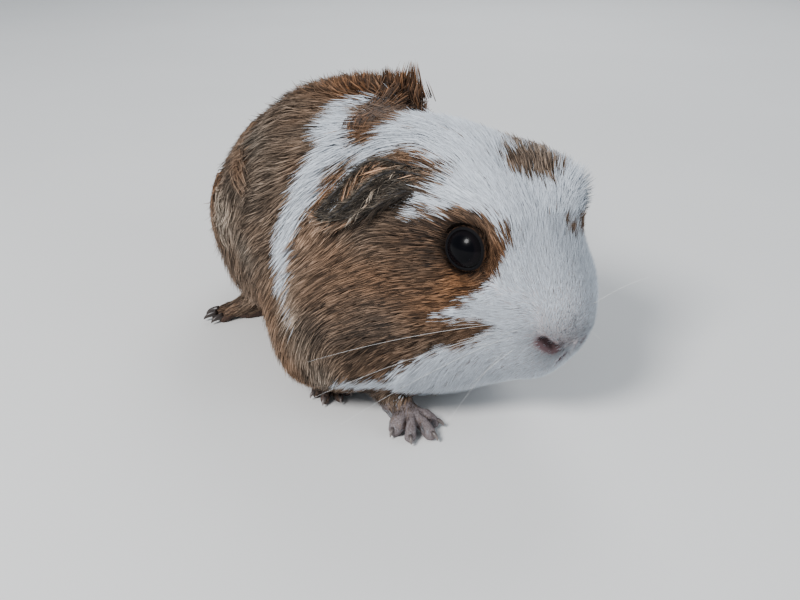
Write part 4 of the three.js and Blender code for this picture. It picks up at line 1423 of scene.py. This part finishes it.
def claw_finish(name, root, tip):
    f = Finish(name, Roughness=0.35, Specular_IOR_Level=0.5)
    streak = f.noise(1800, 3.0)
    colour = f.ramp(f.attribute("along"), (0.0, root), (1.0, tip))
    return f.feed(Base_Color=f.shaded(colour, 0.75 + streak * 0.5))


def whisker_finish():
    f = Finish("whisker", Roughness=0.35, Specular_IOR_Level=0.5)
    colour = f.ramp(f.attribute("along"), (0.0, (0.75, 0.72, 0.7)), (1.0, (0.92, 0.92, 0.92)))
    return f.feed(Base_Color=colour)


def floor_finish():
    f = Finish("pale floor", Roughness=0.8)
    colour = f.mottled(f.noise(6, 3.0), (0.74, 0.74, 0.735), (0.77, 0.77, 0.765))
    return f.feed(Base_Color=colour)


# ---- floor, lights and camera: in metres
LIT_PLACE = Vector((0, -0.02, 0.04))
CAMERA_FROM_EYE = np.array([-51.14, -210.94, 85.9])  # from the right eye, in millimetres
CAMERA_DOWN, CAMERA_ROUND = 25.0, 8.8  # degrees
LENS, SENSOR = 41.4, 36  # millimetres


def build_floor(material):
    mesh = bpy.data.meshes.new("floor")
    mesh.from_pydata([(-4, -4, 0), (4, -4, 0), (4, 6, 0), (-4, 6, 0)], [], [(0, 1, 2, 3)])
    mesh.materials.append(material)
    add_object("floor", mesh)


def soft_light(name, at, size, power, colour=(1, 1, 1)):
    data = bpy.data.lights.new(name, "AREA")
    data.shape = "DISK"
    data.size, data.energy, data.color = size, power, colour
    lamp = add_object(name, data)
    lamp.location = at
    lamp.rotation_euler = (LIT_PLACE - Vector(at)).to_track_quat("-Z", "Y").to_euler()


def studio():
    world = bpy.data.worlds.new("studio")
    bpy.context.scene.world = world
    world.use_nodes = True
    background = world.node_tree.nodes["Background"]
    background.inputs["Color"].default_value = (0.84, 0.92, 1.0, 1)
    background.inputs["Strength"].default_value = 0.47
    soft_light("key", (-0.52, -0.54, 0.67), 0.3, 12, (1, 0.985, 0.97))
    soft_light("fill", (0.7, -0.5, 0.4), 0.6, 2.2, (0.9, 0.95, 1))
    soft_light("back", (0.3, 0.8, 0.7), 0.6, 5, (0.97, 0.98, 1))


def place_camera():
    data = bpy.data.cameras.new("camera")
    data.lens, data.sensor_width = LENS, SENSOR
    data.clip_start, data.clip_end = 0.01, 20
    camera = add_object("camera", data)
    camera.location = (middle("eye_right") + CAMERA_FROM_EYE) * MM
    camera.rotation_euler = (math.radians(90 - CAMERA_DOWN), 0, math.radians(-CAMERA_ROUND))
    bpy.context.scene.camera = camera


# ---- the model
place_camera()
studio()
build_floor(floor_finish())

finishes = {"brown_coat": brown_coat(), "white_coat": white_coat()}
grow_coat(build_skin(skin_finish()), finishes)

eye = eye_finish()
for side in SIDES:
    eyeball(side, eye)

pale_claw = claw_finish("pale claw", (0.055, 0.044, 0.042), (0.2, 0.166, 0.155))
dark_claw = claw_finish("dark claw", (0.02, 0.014, 0.013), (0.05, 0.038, 0.034))
for foot in FEET:
    if "fore" in foot:
        claws(foot, pale_claw, "claw_pale", 0.8, 0.64)
    else:
        claws(foot, dark_claw, "claw_dark", 1.3, 0.78)
whiskers(whisker_finish())
